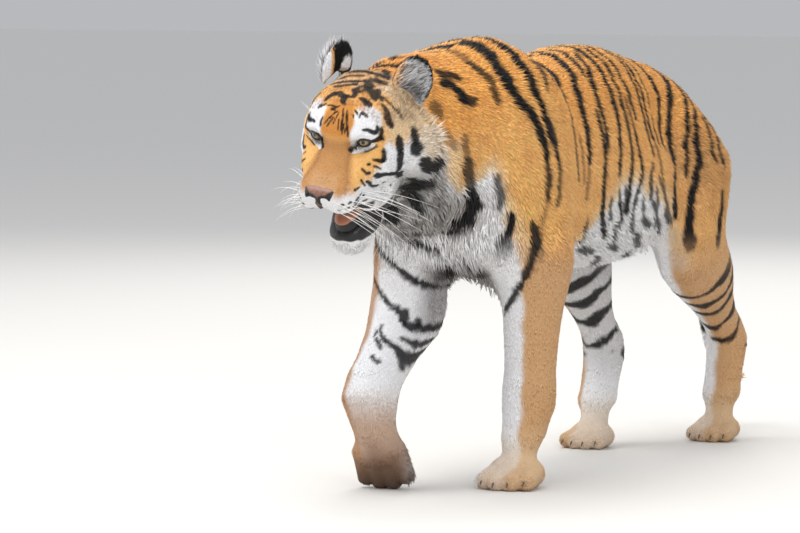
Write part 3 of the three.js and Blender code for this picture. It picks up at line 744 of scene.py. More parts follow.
# the face: degrees round from the front, then degrees up
faceMarks = [
    (3, 5, [(34, 50), (36, 53), (39.5, 55)]), (7, 8, [(39.5, 55), (43, 53), (46, 50)]),
    (4, 8, [(36, 38), (42, 37.6), (47, 35), (51, 33)]), (8, 8, [(51, 33), (54.5, 35.5), (55, 39)]),
    (3, 6, [(27, 59), (30, 57), (32.6, 54)]), (5, 5, [(24, 54), (26, 52)]),
    (6, 5, [(5, 60), (8, 52), (8, 43), (10, 36)]), (7, 5, [(13, 58), (15, 48), (16.5, 40), (18, 33)]),
    (3, 3, [(2, 50), (2.6, 45), (3, 39)]), (3, 3, [(11, 46), (12.4, 41), (13, 36)]),
    (9, 8, [(55, 28), (57.5, 31), (60, 36)]), (7, 4, [(57, 28), (58.4, 24)]),
    (3, 3, [(31.5, 15.5), (37, 16), (41, 17.2)]), (3, 3, [(41, 17.2), (45, 19), (49.4, 21)]),
    (9, 10, [(75, 55), (76, 51.4), (75.6, 48), (77, 44)]), (12, 17, [(70.6, 46), (71.4, 41), (73, 37)]),
    (16, 8, [(73, 37), (73, 32)]), (13, 13, [(77, 21), (75, 14), (74, 7)]),
    (13, 11, [(74, 7), (72, -1), (71, -9), (68, -13)]), (11, 7, [(42.4, -7.4), (48, -10), (57, -11.6)]),
    (7, 9, [(57, -11.6), (65, -14.4), (73, -20)]), (14, 15, [(71, -18), (76, -23), (81, -26)]),
    (9, 11, [(98, 20), (96, 13), (93, 7)]), (14, 17, [(93, 7), (92.4, 2), (93, -2)]),
    (7, 11, [(56, 15.6), (55.6, 10), (54.2, 3.6)]), (8, 4, [(54, 3.6), (50.4, 4), (47, 5.8), (43, 7.4)]),
    (3, 3, [(42, 1.6), (46, -0.8), (50, -4)]), (3, 3, [(31, 2), (34, -1)]),
    (4, 4, [(34, -2), (38.6, -3.2)]), (3, 3, [(37, 5), (40, 3.6)]),
    (4, 6, [(34.4, -8.4), (37, -13), (38.4, -19)]), (7, 5, [(38.4, -19), (42.6, -22), (47, -24.4)]),
    (3, 3, [(29.6, -6), (33, -14)]), (6, 6, [(53, -23.6), (54.6, -25)]),
    (4, 4, [(66, -35.6), (68, -36.4)]), (9, 12, [(97, -10), (100, -16), (104, -22)]),
    (13, 15, [(96, -36), (104, -37), (112, -37)]), (20, 14, [(101, -42), (105, -49), (110, -55)]),
    (16, 20, [(92, -64), (98, -70), (106, -73)]),
    (5, 4, [(91, 60), (88, 55), (89, 48), (92, 42), (93, 33)]), (10, 9, [(84, -44), (92, -52)]),
    (9, 8, [(108, -14), (110, -24)]),
    # rows of dark spots on the whisker pads
    (3, 2, [(24, -11.6), (28, -12.6)]), (2, 2, [(15.6, -15.8), (17.6, -16.2)]),
    (2, 2, [(20, -17), (22, -17.6)]), (3, 2, [(24, -19.4), (29, -20.8)]),
    (2, 2, [(13.4, -19.4), (15.6, -19.6)]), (2, 2, [(18, -20), (20.4, -20.6)]),
    (3, 2, [(22.4, -21.8), (27, -23.4)]), (2, 2, [(29, -24), (31.6, -25)]),
    (1, 2, [(7.6, -24), (13, -26), (20, -27.6)]), (2, 1, [(21, -27.6), (27, -28.4), (34, -29)]),
    (1, 1, [(13.6, -31), (19, -32.6), (25, -33)]),
]
rightFaceMarks = [
    (4, 6, [(-42, 52), (-39, 56), (-35, 58.4)]), (3, 3, [(-32, 58), (-25, 60), (-11, 60.4), (-4, 63)]),
    (5, 3, [(-21, 57), (-14, 58), (-9, 57)]), (4, 3, [(-12, 53), (-8, 55.6), (-4, 57)]),
    (3, 5, [(-19, 42), (-16, 48), (-12, 51)]), (5, 5, [(-27, 46), (-26.4, 42), (-24, 37)]),
    (4, 3, [(-8, 50), (-12, 45), (-14, 40)]), (3, 3, [(-2, 56), (-4, 50), (-6, 44)]),
    (5, 9, [(-56, 39), (-50, 35), (-45, 37)]), (8, 9, [(-53, 28), (-57, 29)]),
]
# round each eye: millimetres outwards from the middle of its iris, then up, seen from a little above
eyeMarks = [
    ("white", 8, 8, [(-31, -15.5), (-20, -15), (-11, -13.6), (0, -13), (8, -11.4), (21, -6.4)]),
    ("black", 12, 11, [(-14, -4), (-25, -7.6), (-35, -10.4)]), ("black", 3, 3, [(-24, -11), (-33, -16)]),
    ("black", 2, 3, [(-8, -19.6), (8, -17.6)]), ("black", 3, 2, [(8, -17.6), (19, -15), (27, -13)]),
    ("black", 5, 12, [(15, -1.6), (26, 0.4), (38, 4)]),
]
# the top of the head: millimetres to the left, then back
crownMarks = [
    (5, 9, [(28, 29), (37, 27.6), (45, 26)]), (10, 5, [(45, 26), (51, 24.6), (58, 22.6)]),
    (4, 8, [(-48, 13), (-38, 25), (-30, 31)]), (8, 5, [(-30, 31), (-21, 31), (-5, 25), (5, 25)]),
    (8, 8, [(-7, 26), (-3, 20), (-2, 12)]), (7, 6, [(10, 27), (14, 33), (12, 40)]),
    (4, 4, [(0, 12), (4, 4)]), (5, 7, [(-64, 71), (-40, 77), (-12, 84), (2, 88)]),
    (9, 12, [(2, 89), (13, 92), (20, 83), (30, 70)]), (12, 8, [(30, 70), (40, 60), (50, 50), (58, 42)]),
    (5, 6, [(-50, 54), (-30, 58), (-12, 68), (0, 70)]),
    (5, 6, [(9, 60), (13, 67), (21, 68), (26, 60), (23, 51), (15, 47), (9, 52), (9, 60)]),
    (4, 5, [(2, 54), (6, 44), (11, 36)]), (4, 3, [(-62, 99), (-40, 106), (-20, 106), (-5, 106)]),
    (5, 7, [(-52, 121), (-22, 123), (0, 122), (12, 122)]), (7, 6, [(12, 122), (25, 122), (38, 118)]),
    (6, 8, [(14, 106), (25, 104), (36, 101)]), (8, 6, [(36, 101), (45, 103), (50, 109)]),
    (8, 9, [(2, 182), (12, 168), (20, 157)]), (9, 7, [(20, 157), (32, 138), (45, 120)]),
    (6, 7, [(-44, 204), (-20, 205), (0, 208)]), (7, 5, [(0, 208), (12, 209), (22, 216), (26, 231)]),
    (8, 8, [(-68, 214), (-46, 222), (-26, 222)]), (14, 12, [(-18, 236), (-10, 250), (0, 262)]),
    (5, 7, [(46, 76), (54, 66), (61, 57), (67, 49)]), (4, 5, [(-40, 148), (-20, 145), (-4, 150)]),
    (4, 5, [(-50, 172), (-30, 172), (-12, 180)]),
]


def nearStroke(u, v, points, widths, edge):
    # how strongly a stroke covers points of a flat map, all in millimetres
    points = np.array(points, float)
    reach = max(widths) + edge * 2
    low, high = points.min(0) - reach, points.max(0) + reach
    near = np.nonzero((u > low[0]) & (u < high[0]) & (v > low[1]) & (v < high[1]))[0]
    amount = np.zeros(len(u))
    if not len(near):
        return amount
    q = np.stack([u[near], v[near]], 1)
    lengths = np.linalg.norm(np.diff(points, axis=0), axis=1)
    whole, run = lengths.sum(), 0
    best = np.full(len(near), -1e9)
    for a, b, length in zip(points, points[1:], lengths):
        t = np.clip((q - a) @ (b - a) / length ** 2, 0, 1)
        gap = np.linalg.norm(q - a - t[:, None] * (b - a), axis=1)
        share = (run + t * length) / whole
        half = (widths[0] + (widths[1] - widths[0]) * share) / 2
        half = half * (0.45 + 0.55 * np.minimum(1, np.minimum(share, 1 - share) * 10 + 0.2))
        best = np.maximum(best, half - gap)
        run += length
    amount[near] = smoothStep(-edge, edge, best)
    return amount


def covered(amount, layer, strength=1.0):
    # a further layer of strokes over those that are there
    return amount + (1 - amount) * layer * strength


def mixed(colour, other, amount):
    return colour + (tint[other] - colour) * amount[:, None]


# the coloured fur ends and the white begins: centimetres along the body, and degrees round from the spine
whiteEdge = [
    (-90, 44), (-82, 46), (-76, 58), (-71, 84), (-67, 96), (-62, 84), (-58.5, 78), (-56, 90), (-54, 112),
    (-50, 131), (-46, 140), (-40, 152), (-30, 158), (-20, 142), (-12, 116), (-5, 104), (5, 99), (12, 104),
    (20, 116), (28, 127), (36, 156), (70, 165),
]


def trunkPaint(m):
    p, side = m["p"], m["side"]
    girth = m["girth"] + 2.5 * ripple(p, 0.31, 3)
    along = p[:, 1] * 100
    whiteFrom = np.interp(along, *zip(*whiteEdge))
    paint = np.full((len(p), 3), 1.0) * tint["back"]
    paint = mixed(paint, "flank", smoothStep(25, 95, girth))
    paint = mixed(paint, "shoulder", smoothStep(-34, -44, along) * smoothStep(30, 60, girth) * 0.8)
    paint = mixed(paint, "buff", smoothStep(-20, -4, girth - whiteFrom) * 0.7)
    paint = mixed(paint, "buff", smoothStep(-66, -70, along) * smoothStep(34, 50, girth) * 0.7)
    paint = mixed(paint, "white", smoothStep(-5, 5, girth - whiteFrom + 3 * ripple(p, 0.11, 5)))
    # painted shade under the front of the chest: the fur there is greyed and blotched darker
    under = smoothStep(-53, -60, along) * smoothStep(80, 120, girth)
    paint = mixed(paint, "grey", under * 0.8)
    paint = mixed(paint, "dirtAndShade", under * smoothStep(-0.4, 0.9, ripple(p, 0.055, 12)) * 0.55)
    paint *= 1 + 0.06 * ripple(p, 0.09, 2)[:, None]
    paint *= 1 - 0.26 * (smoothStep(16, 42, along) * smoothStep(35, 80, girth))[:, None]

    black, brown = np.zeros(len(p)), np.zeros(len(p))
    wobble = 2.2 * ripple(p, 0.06, 1)
    # the right side carries the same stripes, a little out of step
    u = p[:, 1] * 1000 + wobble + np.where(side < 0, 24 + 12 * ripple(p, 0.5, 8), 0)
    degree = strokePlan["trunkDegree"]
    v = m["girth"] * degree + 0.5 * wobble
    for top, bottom, strength, places in flankStripes + neckMarks:
        # those that start near the spine run on over it, and all have a soft brown edge
        path = [(y * 10, (g - 9 * (g < 9)) * degree) for y, g in places]
        bold = min(1, 1.1 * strength)
        widths = widened("flank", top, bottom)
        black = covered(black, nearStroke(u, v, path, widths, 1.8), bold)
        wider = tuple(width + strokePlan["brownEdge"] for width in widths)
        brown = covered(brown, nearStroke(u, v, path, wider, 3.5), 0.55 * bold)
    for top, bottom, places in bellyMarks:
        path = [(y * 10, g * degree) for y, g in places]
        black = covered(black, nearStroke(u, v, path, widened("belly", top, bottom), 5), 0.9)
    paint = mixed(paint, "brown", brown * (1 - black) * 0.6)
    return mixed(paint, "black", black)


legBands = {  # millimetres down the leg, degrees round it from and to (0 in front, 90 outside), width, slope
    "hindLeft": [(330, -60, 250, 22, 20), (395, -120, 260, 24, 6), (455, -120, 240, 22, 0),
                 (520, -100, 250, 20, 0), (575, -40, 250, 16, 0), (640, 90, 280, 12, 0)],
    "hindRight": [(70, 20, 190, 22, 30), (140, 10, 180, 20, 40), (215, 0, 200, 22, 40),
                  (290, -150, 200, 26, 10), (368, -170, 220, 30, 4), (428, -170, 240, 26, 0),
                  (492, -160, 250, 28, -4), (552, -120, 260, 18, 0), (610, -60, 280, 14, 0)],
    "foreLeft": [(330, 150, 240, 10, 0), (395, -150, -60, 9, 0), (450, -160, -80, 8, 0)],
    "foreRight": [(420, 110, 220, 12, 0), (470, 120, 210, 10, 0)],
}
# how far outside the bone the coloured fur starts, and how much wider the bands are drawn, in millimetres
colourFrom = {"foreLeft": 12, "foreRight": 32, "hindLeft": -6, "hindRight": 26}
bandsWider = {"foreLeft": 4, "foreRight": 4, "hindLeft": 4, "hindRight": 8}


def legPaint(m, paint):
    p = m["p"]
    z = p[:, 2]
    for name, leg in m["leg"].items():
        side = 1 if name.endswith("Left") else -1
        fore = name.startswith("fore")
        out = (p[:, 0] - leg["nearest"][:, 0]) * side * 1000
        ahead = (leg["nearest"][:, 1] - p[:, 1]) * 1000
        angle = np.degrees(np.arctan2(out, ahead))
        colour = np.full((len(p), 3), 1.0) * tint["white"]
        edge = colourFrom[name] - 8 * smoothStep(0.35, 0.2, z) * (name == "foreRight")
        orange = smoothStep(-9, 9, out - edge + 5 * ripple(p, 0.09, 3))
        colour = mixed(colour, "leg" if name != "foreRight" else "tan", orange * 0.92)
        if name == "foreRight":
            # the lifted foot is soiled up to the wrist, reaching higher behind; behind the wrist and under
            # the sole it is darkened further as painted shade
            colour = mixed(colour, "tan", smoothStep(0.25, 0.13, z + 0.04 * smoothStep(10, -30, ahead)) * 0.8)
            colour = mixed(colour, "tan", smoothStep(-8, -30, ahead) * smoothStep(0.30, 0.20, z) * 0.7)
            colour = mixed(colour, "paw", smoothStep(0.135, 0.05, z + 0.03 * smoothStep(-10, 30, out)) * 0.95)
            colour = mixed(colour, "dirtAndShade", smoothStep(0.07, 0.01, z) * 0.6)
        else:
            # painted shade: the white of the right hind leg is greyed above the foot
            colour = mixed(colour, "grey", smoothStep(0.12, 0.22, z) * 0.4 * (name == "hindRight"))
            colour = mixed(colour, "buff", smoothStep(0.15, 0.05, z) * 0.6)
            colour = mixed(colour, "tan", smoothStep(0.10, 0.01, z) * 0.4)
        black = np.zeros(len(p))
        u = leg["along"] + 4 * ripple(p, 0.08, 9)
        for down, start, end, width, slope in legBands[name]:
            turn = np.mod(angle - start, 360)
            span = end - start
            inside = smoothStep(0, 14, turn) * smoothStep(span, span - 14, turn) * (turn < span)
            level = down + slope * (turn / 100) + 5 * np.sin(np.radians(turn * 2.3 + down))
            swell = 0.75 + 0.25 * np.sin(np.radians(turn * 3 + down))
            half = (width + bandsWider[name]) / 2 * swell
            black = covered(black, inside * smoothStep(half + 2.5, half - 2.5, np.abs(u - level)), 0.96)
        colour = mixed(colour, "black", black)
        amount = leg["amount"] if fore else leg["amount"] * smoothStep(0.52, 0.40, z)
        paint = paint + (colour - paint) * amount[:, None]
    return paint


def chestPaint(m, paint):
    p = m["p"]
    front = smoothStep(-0.37, -0.42, p[:, 1]) * (1 - m["headness"])
    # painted shade between the forelegs, where the fur is darkened
    between = smoothStep(0.09, 0.05, np.abs(p[:, 0] + 0.005)) * smoothStep(0.51, 0.45, p[:, 2])
    between = between * smoothStep(-0.14, -0.3, p[:, 1]) * smoothStep(0.30, 0.36, p[:, 2])
    paint = mixed(paint, "dirtAndShade", between * (1 - m["headness"]) * 0.6)
    u = p[:, 0] * 1000 + 1.6 * ripple(p, 0.05, 4)
    v = p[:, 2] * 1000 + 1.6 * ripple(p, 0.045, 6)
    black = np.zeros(len(p))
    for start, end, places in chestMarks:
        path = [(x * 10, z * 10) for x, z in places]
        layer = nearStroke(u, v, path, widened("chest", start, end), 2.0)
        black = covered(black, layer, 0.95)
    return mixed(paint, "black", black * front)


def headPaint(m, paint):
    local, az, el = m["head"], m["az"], m["el"]
    left, forward, up = local.T
    a = np.abs(az)
    wave = ripple(m["p"], 0.04, 2)
    colour = np.full((len(az), 3), 1.0) * tint["shoulder"]
    brow = smoothStep(30, 22, a) * smoothStep(24, 36, el) * smoothStep(74, 66, el)
    colour = mixed(colour, "forehead", brow)
    temple = smoothStep(58, 68, a) * smoothStep(10, 26, el) * smoothStep(60, 36, el)
    colour = mixed(colour, "buff", temple * 0.7)
    colour = mixed(colour, "bridge", smoothStep(26, 18, a) * smoothStep(34, 24, el))
    innerEdge = np.interp(el, [22, 30, 38, 46, 54, 62], [19, 20, 22, 25.5, 29, 35])
    outerEdge = np.interp(el, [24, 31, 38, 46, 54, 62], [47, 54, 62, 65, 62, 54])
    # the white brows
    white = smoothStep(-2.5, 2.5, a - innerEdge + 1.2 * wave) * smoothStep(-3, 3, outerEdge - a + 1.2 * wave)
    white *= smoothStep(22, 27, el) * smoothStep(64, 57, el + 3 * (az < 0) + wave)
    high = nearStroke(left, -forward, [(44, 92), (54, 86), (62, 96)], (24, 20), 6)
    high = covered(high, nearStroke(left, -forward, [(-48, 88), (-60, 96), (-72, 96)], (22, 20), 6))
    white = covered(white, high * smoothStep(30, 50, up), 0.5)
    # white cheeks: below a line that climbs backwards from under the eye
    line = np.interp(a, [24, 34, 42, 48, 54, 57, 60, 66, 74, 90], [-14, -9, -5, -1, 3, 16, 22, 18, 12, 14])
    white = covered(white, smoothStep(-5, 5, line - el + 2.4 * wave + 2.4 * ripple(m["p"], 0.012, 6)))
    white = covered(white, smoothStep(-6 - 0.2 * a, -12 - 0.2 * a, el))
    colour = mixed(colour, "white", white)
    besideEar = smoothStep(66, 84, a) * smoothStep(8, 20, el) * smoothStep(56, 44, el)
    colour = mixed(colour, "buff", besideEar * 0.5)
    colour = mixed(colour, "buff", smoothStep(92, 104, a) * smoothStep(-26, -8, el) * 0.7)
    # painted shade on the ruff under the head: greyed and blotched darker
    ruff = smoothStep(60, 95, a) * smoothStep(-4, -40, el)
    colour = mixed(colour, "grey", ruff * 0.8)
    ruffShadeBlotches = smoothStep(-0.4, 0.9, ripple(m["p"], 0.05, 12)) * smoothStep(-20, -45, el)
    colour = mixed(colour, "dirtAndShade", ruff * ruffShadeBlotches * 0.6)
    overNose = smoothStep(14, 9, a) * smoothStep(2, -4, el) * smoothStep(-14, -9, el)
    colour = mixed(colour, "buff", overNose * 0.15)
    freckle = smoothStep(0.95, 1.15, ripple(m["p"], 0.0085, 4)) * smoothStep(34, 24, a)
    colour = mixed(colour, "brown", freckle * smoothStep(16, 2, el) * (el > -12) * 0.45)
    # a soft dark line beside the nose bridge
    degree = strokePlan["faceDegree"]
    path = [(x * degree, y * degree) for x, y in ((18, 14), (17, 2), (19, -8))]
    colour = mixed(colour, "brown", nearStroke(a * degree, el * degree, path, (9, 7), 6) * 0.3)

    black = np.zeros(len(az))
    wobble = 0.6 * ripple(m["p"], 0.03, 2)
    v = el * degree + wobble
    mirrored = [mark for mark in faceMarks if mark[2][0][0] > 34 or mark[2][0][1] < 20]
    for marks, u in ((faceMarks, az * degree), (mirrored, -az * degree + 1.5), (rightFaceMarks, az * degree)):
        for start, end, places in marks:
            widths = widened("face", start, end, max(0, places[0][0] - 60) / 50)
            path = [(x * degree, y * degree) for x, y in places]
            layer = nearStroke(u + wobble, v, path, widths, 0.9 + 0.05 * max(widths))
            black = covered(black, layer, 0.97)
    colour = mixed(colour, "black", black)
    # the marks round the eyes are laid on from a little above and outside
    for side in (1, -1):
        centre, across, ahead, upward = eyeFrame(side)
        away = (m["p"] - centre) * 1000 - eyePlan["radius"] * 1000 * ahead
        facing = smoothStep(-35, -25, away @ ahead)
        sideways, upward = across * 0.99 - ahead * 0.15, upward * 0.88 - ahead * 0.47
        for name, start, end, places in eyeMarks:
            layer = nearStroke(away @ sideways + wobble, away @ upward + wobble, places, (start, end), 0.8)
            colour = mixed(colour, name, layer * facing * 0.97)
    paint = paint + (colour - paint) * m["headness"][:, None]
    # the crown and its dark lines run on into the neck
    onCrown = smoothStep(30, 48, up - 0.25 * forward) * smoothStep(0, -10, forward)
    onCrown = onCrown * smoothStep(-0.62, -0.66, m["p"][:, 1])
    black = np.zeros(len(az))
    for start, end, places in crownMarks:
        widths = widened("crown", start, end)
        layer = nearStroke(left + 2 * wobble, -forward + 2 * wobble, places, widths, 1.2)
        black = covered(black, layer * onCrown, 0.94)
    streaks = smoothStep(-0.2, 0.7, ripple(m["p"] * [1, 0.35, 1], 0.009, 6))
    paint = mixed(paint, "forehead", onCrown * smoothStep(62, 40, np.abs(left)) * 0.5)
    paint = mixed(paint, "brown", onCrown * m["headness"] * (0.1 + 0.38 * streaks))
    return mixed(paint, "black", black)


def mouthPaint(m, paint):
    # the black lower lip and the white chin, and painted shade inside the mouth in the lip's black
    forward, up = m["head"][:, 1], m["head"][:, 2]
    hinge, angle = jawPlan["hinge"], math.radians(jawPlan["open"])
    f, u = forward - hinge[0], up - hinge[1]
    jawForward = hinge[0] + f * math.cos(angle) - u * math.sin(angle)
    jawUp = hinge[1] + u * math.cos(angle) + f * math.sin(angle)
    onJaw = m["headness"] * smoothStep(-118, -121, jawUp) * smoothStep(-44, -38, forward)
    lipEnd = np.interp(jawForward, [-40, 20, 60, 90, 112], [-196, -192, -178, -166, -153])
    lipBand = smoothStep(-2, 2, jawUp - (lipEnd + 2 * ripple(m["p"], 0.03, 3))) * onJaw
    paint = mixed(paint, "white", onJaw * 0.85)
    paint = mixed(paint, "lip", lipBand)
    # painted shade: the inside of the mouth is coloured as black as the lip
    inside = smoothStep(2, -2, lobeField(m["head"], 0, 34, -160, (45, 94, 36), (12, 0, 0))) * m["headness"]
    inside *= smoothStep(-112, -118, up)
    edge = smoothStep(-116, -120, up) * smoothStep(-142, -136, up)
    edge = edge * smoothStep(24, 36, forward) * m["headness"]
    inside = np.maximum(inside, edge)
    m["inMouth"] = np.maximum(lipBand, inside) > 0.5
    return mixed(paint, "lip", inside)


def tailPaint(m, paint):
    p, along = m["p"], m["tail"]["along"]
    under = smoothStep(-0.01, 0.02, m["tail"]["nearest"][:, 1] - p[:, 1])
    tail = tint["flank"] + (tint["white"] - tint["flank"]) * under[:, None]
    wave = np.mod(along + 10 * ripple(p, 0.2, 5), 88)
    ring = smoothStep(20, 26, wave) * smoothStep(58, 50, wave) * smoothStep(150, 190, along)
    ring = np.maximum(ring, smoothStep(870, 885, along))
    tail = mixed(tail, "black", ring * 0.95)
    return paint + (tail - paint) * m["tailness"][:, None]


def coatPaint(points):
    m = bodyMap(points)
    paint = chestPaint(m, legPaint(m, trunkPaint(m)))
    paint = tailPaint(m, mouthPaint(m, headPaint(m, paint)))
    return np.clip(paint, 0, 1), m


# the skin's materials and colours
def furMaterial(name, grain):
    # winter fur: matt, a little sheen at the edges, fine streaks from hair to hair
    made, tree = newMaterial(name)
    colour = addNode(tree, "ShaderNodeVertexColor", {"layer_name": "coat"})
    where = addNode(tree, "ShaderNodeTexCoord")
    streak = addNode(tree, "ShaderNodeTexNoise", {"Scale": 1000 / grain, "Detail": 3.0, "Roughness": 0.6},
                     {"Vector": where.outputs["Object"]})
    shade = addNode(tree, "ShaderNodeMapRange", {
        "From Min": 0.3, "From Max": 0.7, "To Min": 0.84, "To Max": 1.12}, {"Value": streak.outputs["Fac"]})
    value = addNode(tree, "ShaderNodeHueSaturation", {}, {
        "Color": colour.outputs["Color"], "Value": shade.outputs["Result"]})
    rough = addNode(tree, "ShaderNodeMapRange", {"To Min": 0.55, "To Max": 0.8}, {
        "Value": streak.outputs["Fac"]})
    bump = addNode(tree, "ShaderNodeBump", {"Strength": 0.25, "Distance": 0.0006}, {
        "Height": streak.outputs["Fac"]})
    finishMaterial(tree, addNode(tree, "ShaderNodeBsdfPrincipled", {
        "IOR": 1.5, "Specular IOR Level": 0.14, "Sheen Weight": 0.05, "Sheen Roughness": 0.5}, {
        "Base Color": value.outputs["Color"], "Roughness": rough.outputs["Result"],
        "Normal": bump.outputs["Normal"]}))
    return made


# painted shade: the skin is coloured darker than the locks, as the shade beneath them
furTone = {"skin": 0.82, "ears": 0.8}  # the skin under the locks is a little darker than they are
skinFur = furMaterial("short winter underfur", 3.0)
tuftFur = furMaterial("winter guard hair", 5.0)


def unwrap(piece):
    for layer in list(piece.data.uv_layers):
        piece.data.uv_layers.remove(layer)
    selectOnly(piece)
    bpy.ops.object.mode_set(mode="EDIT")
    bpy.ops.mesh.select_all(action="SELECT")
    bpy.ops.mesh.quads_convert_to_tris()
    bpy.ops.uv.smart_project(angle_limit=math.radians(66), island_margin=0.002)
    bpy.ops.object.mode_set(mode="OBJECT")
    piece.data.uv_layers[0].name = "OFBake"


def wetMaterial():
    # bare black lips, and the lining of the mouth painted black as shade: wrinkled and wet
    made, tree = newMaterial("wet black lip and shaded mouth")
    colour = addNode(tree, "ShaderNodeVertexColor", {"layer_name": "coat"})
    where = addNode(tree, "ShaderNodeTexCoord")
    crease = addNode(tree, "ShaderNodeTexNoise", {"Scale": 140.0, "Detail": 4.0}, {
        "Vector": where.outputs["Object"]})
    bump = addNode(tree, "ShaderNodeBump", {"Strength": 0.6, "Distance": 0.003}, {
        "Height": crease.outputs["Fac"]})
    shader = addNode(tree, "ShaderNodeBsdfPrincipled", {
        "Roughness": 0.45, "IOR": 1.4, "Coat Weight": 0.3, "Coat Roughness": 0.15},
        {"Base Color": colour.outputs["Color"], "Normal": bump.outputs["Normal"]})
    finishMaterial(tree, shader)
    return made


colours, found = coatPaint(pointsOf(skin.data))
putColours(skin.data, "coat", colours * furTone["skin"])
skin.data.materials.clear()
skin.data.materials.append(skinFur)
skin.data.materials.append(wetMaterial())
unwrap(skin)
corners = np.empty(len(skin.data.loops), np.int32)
skin.data.loops.foreach_get("vertex_index", corners)
wet = found["inMouth"][corners.reshape(-1, 3)].all(1)
skin.data.polygons.foreach_set("material_index", wet.astype(np.int32))
skin.data.polygons.foreach_set("use_smooth", np.ones(len(wet), bool))
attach(skin, "root")
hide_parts(*fleshNodes)
print("skin painted,", len(skin.data.polygons), "triangles")


# ears
earPlan = {  # millimetres and degrees
    "width": 43, "height": 58, "fineness": 0.0025, "lean": -8,
    "left": {"seat": (104, -122, 88), "tilt": 16, "turn": 34},
    "right": {"seat": (-88, -138, 84), "tilt": -12, "turn": -104},
}


def earMap(side, points):
    # millimetres in the ear's own frame: across, backwards from its open side, and up
    ear = earPlan[side]
    seat = np.array(ear["seat"], float) * [1, -1, 1]
    angles = ((ear["turn"], "Z"), (ear["tilt"], "Y"), (earPlan["lean"], "X"))
    about, over, back = [Matrix.Rotation(math.radians(angle), 3, axis) for angle, axis in angles]
    turn = np.array(about @ over @ back)
    return (toHead(points) * [1, -1, 1] - seat) @ turn, headTurn @ turn


def earPaint(side, points, inner):
    q, _ = earMap(side, points)
    across = q[:, 0] * (1 if side == "left" else -1)
    up = q[:, 2]
    edge = np.hypot(q[:, 0] / earPlan["width"], up / earPlan["height"])
    wave = ripple(points, 0.02, 3)
    # inside: pale hair over a hollow darkened as painted shade; its front edge is orange, the outer rim black
    inside = np.full((len(points), 3), 1.0) * tint["white"] * 0.8
    inside = mixed(inside, "dirtAndShade", smoothStep(34, 14, np.hypot(across + 4, up + 22)) * 0.85)
    inside = mixed(inside, "grey", smoothStep(-0.2, 0.8, wave) * 0.5)
    inside = mixed(inside, "flank", smoothStep(-22, -32, across + 2 * wave) * (0.8 if side == "left" else 0))
    # back: black with a white spot, orange at the foot
    back = np.full((len(points), 3), 1.0) * tint["black"]
    spot = np.hypot((q[:, 0] + 12) / 17, (up - 8) / 17)
    back = mixed(back, "white", smoothStep(1.15, 0.9, spot + 0.08 * wave))
    back = mixed(back, "flank", smoothStep(23, 25, q[:, 0]) * (side == "right") * 0.8)
    back = mixed(back, "white", smoothStep(27, 31, q[:, 0]) * (side == "right"))
    back = mixed(back, "flank", smoothStep(-30, -40, up))
    colour = back + (inside - back) * inner[:, None]
    rim = smoothStep(0.72, 0.84, edge) * smoothStep(-14, 2, across + 0.35 * up) * smoothStep(-44, -34, up)
    return np.clip(mixed(colour, "black", rim * (1 if side == "left" else 0.4)), 0, 1)


def flesh(name, node, voxel, rounds):
    # a finer, softer copy of one node that takes its place
    copy = bpy.data.objects.new(name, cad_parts[node].data.copy())
    scene.collection.objects.link(copy)
    selectOnly(copy)
    bpy.ops.object.mode_set(mode="EDIT")
    bpy.ops.mesh.select_all(action="SELECT")
    bpy.ops.mesh.remove_doubles(threshold=0.00001)
    bpy.ops.object.mode_set(mode="OBJECT")
    remesh = copy.modifiers.new("remesh", "REMESH")
    remesh.mode = "VOXEL"
    remesh.voxel_size = voxel
    smooth = copy.modifiers.new("smooth", "SMOOTH")
    smooth.factor = 0.5
    smooth.iterations = rounds
    applyModifiers(copy)
    bpy.ops.object.shade_smooth()
    copy.data.materials.clear()
    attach(copy, "root")
    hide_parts(node)
    return copy


def openSide(side, normals):
    _, axes = earMap(side, np.zeros((1, 3)))
    return smoothStep(-0.1, 0.25, -(normals @ axes[:, 1]))


ears = {}
for side in ("left", "right"):
    ear = flesh("ear" + side.capitalize(), "ear_" + side, earPlan["fineness"], 4)
    shown = earPaint(side, pointsOf(ear.data), openSide(side, normalsOf(ear.data)))
    putColours(ear.data, "coat", shown * furTone["ears"])
    ear.data.materials.append(skinFur)
    unwrap(ear)
    ears[side] = ear
print("ears made")


# the coat of locks
coatPlan = {
    "share": 1.0, "mostLocks": 33000, "buried": 0.0012, "lowest": 0.0004,
    "stray": 0.15, "lengths": (0.72, 1.25), "widths": (0.75, 1.3), "lifts": (0.5, 1.5), "tones": 0.065,
    "middleTone": 0.97, "tipTone": 1.06,
}
# the length of the locks in millimetres: on the trunk, what the belly and the neck have more, and elsewhere
hairLength = {"trunk": 26, "belly": 15, "neck": 12, "leg": 13.5, "foot": 10, "tail": 24}
# and on the head: the nose, then what the rest has more or less
faceHair = {"nose": 6, "cheek": 5, "crown": 10, "ruff": 18, "chin": 14, "muzzle": -1.5}


def lockTemplate():
    # one lock: a thin three-sided spindle, 1 long and 1 wide, root at the origin, lying along +Y
    bpy.ops.object.select_all(action="DESELECT")
    bpy.ops.mesh.primitive_cone_add(vertices=3, radius1=0.5, radius2=0, depth=0.55)
    lock = bpy.context.object
    points = pointsOf(lock.data)
    ring = points[np.argsort(points[:, 2])[:3]]
    bpy.data.objects.remove(lock)
    ring = np.stack([ring[:, 0], np.full(3, 0.42), ring[:, 1] * 0.55], 1)
    ring = ring[np.argsort(np.arctan2(ring[:, 2], ring[:, 0]))]
    points = np.concatenate([[[0, 0, 0]], ring, [[0, 1, 0]]])
    return points, np.array([(0, 2, 1), (0, 3, 2), (0, 1, 3), (4, 1, 2), (4, 2, 3), (4, 3, 1)])


lockPoints, lockFaces = lockTemplate()


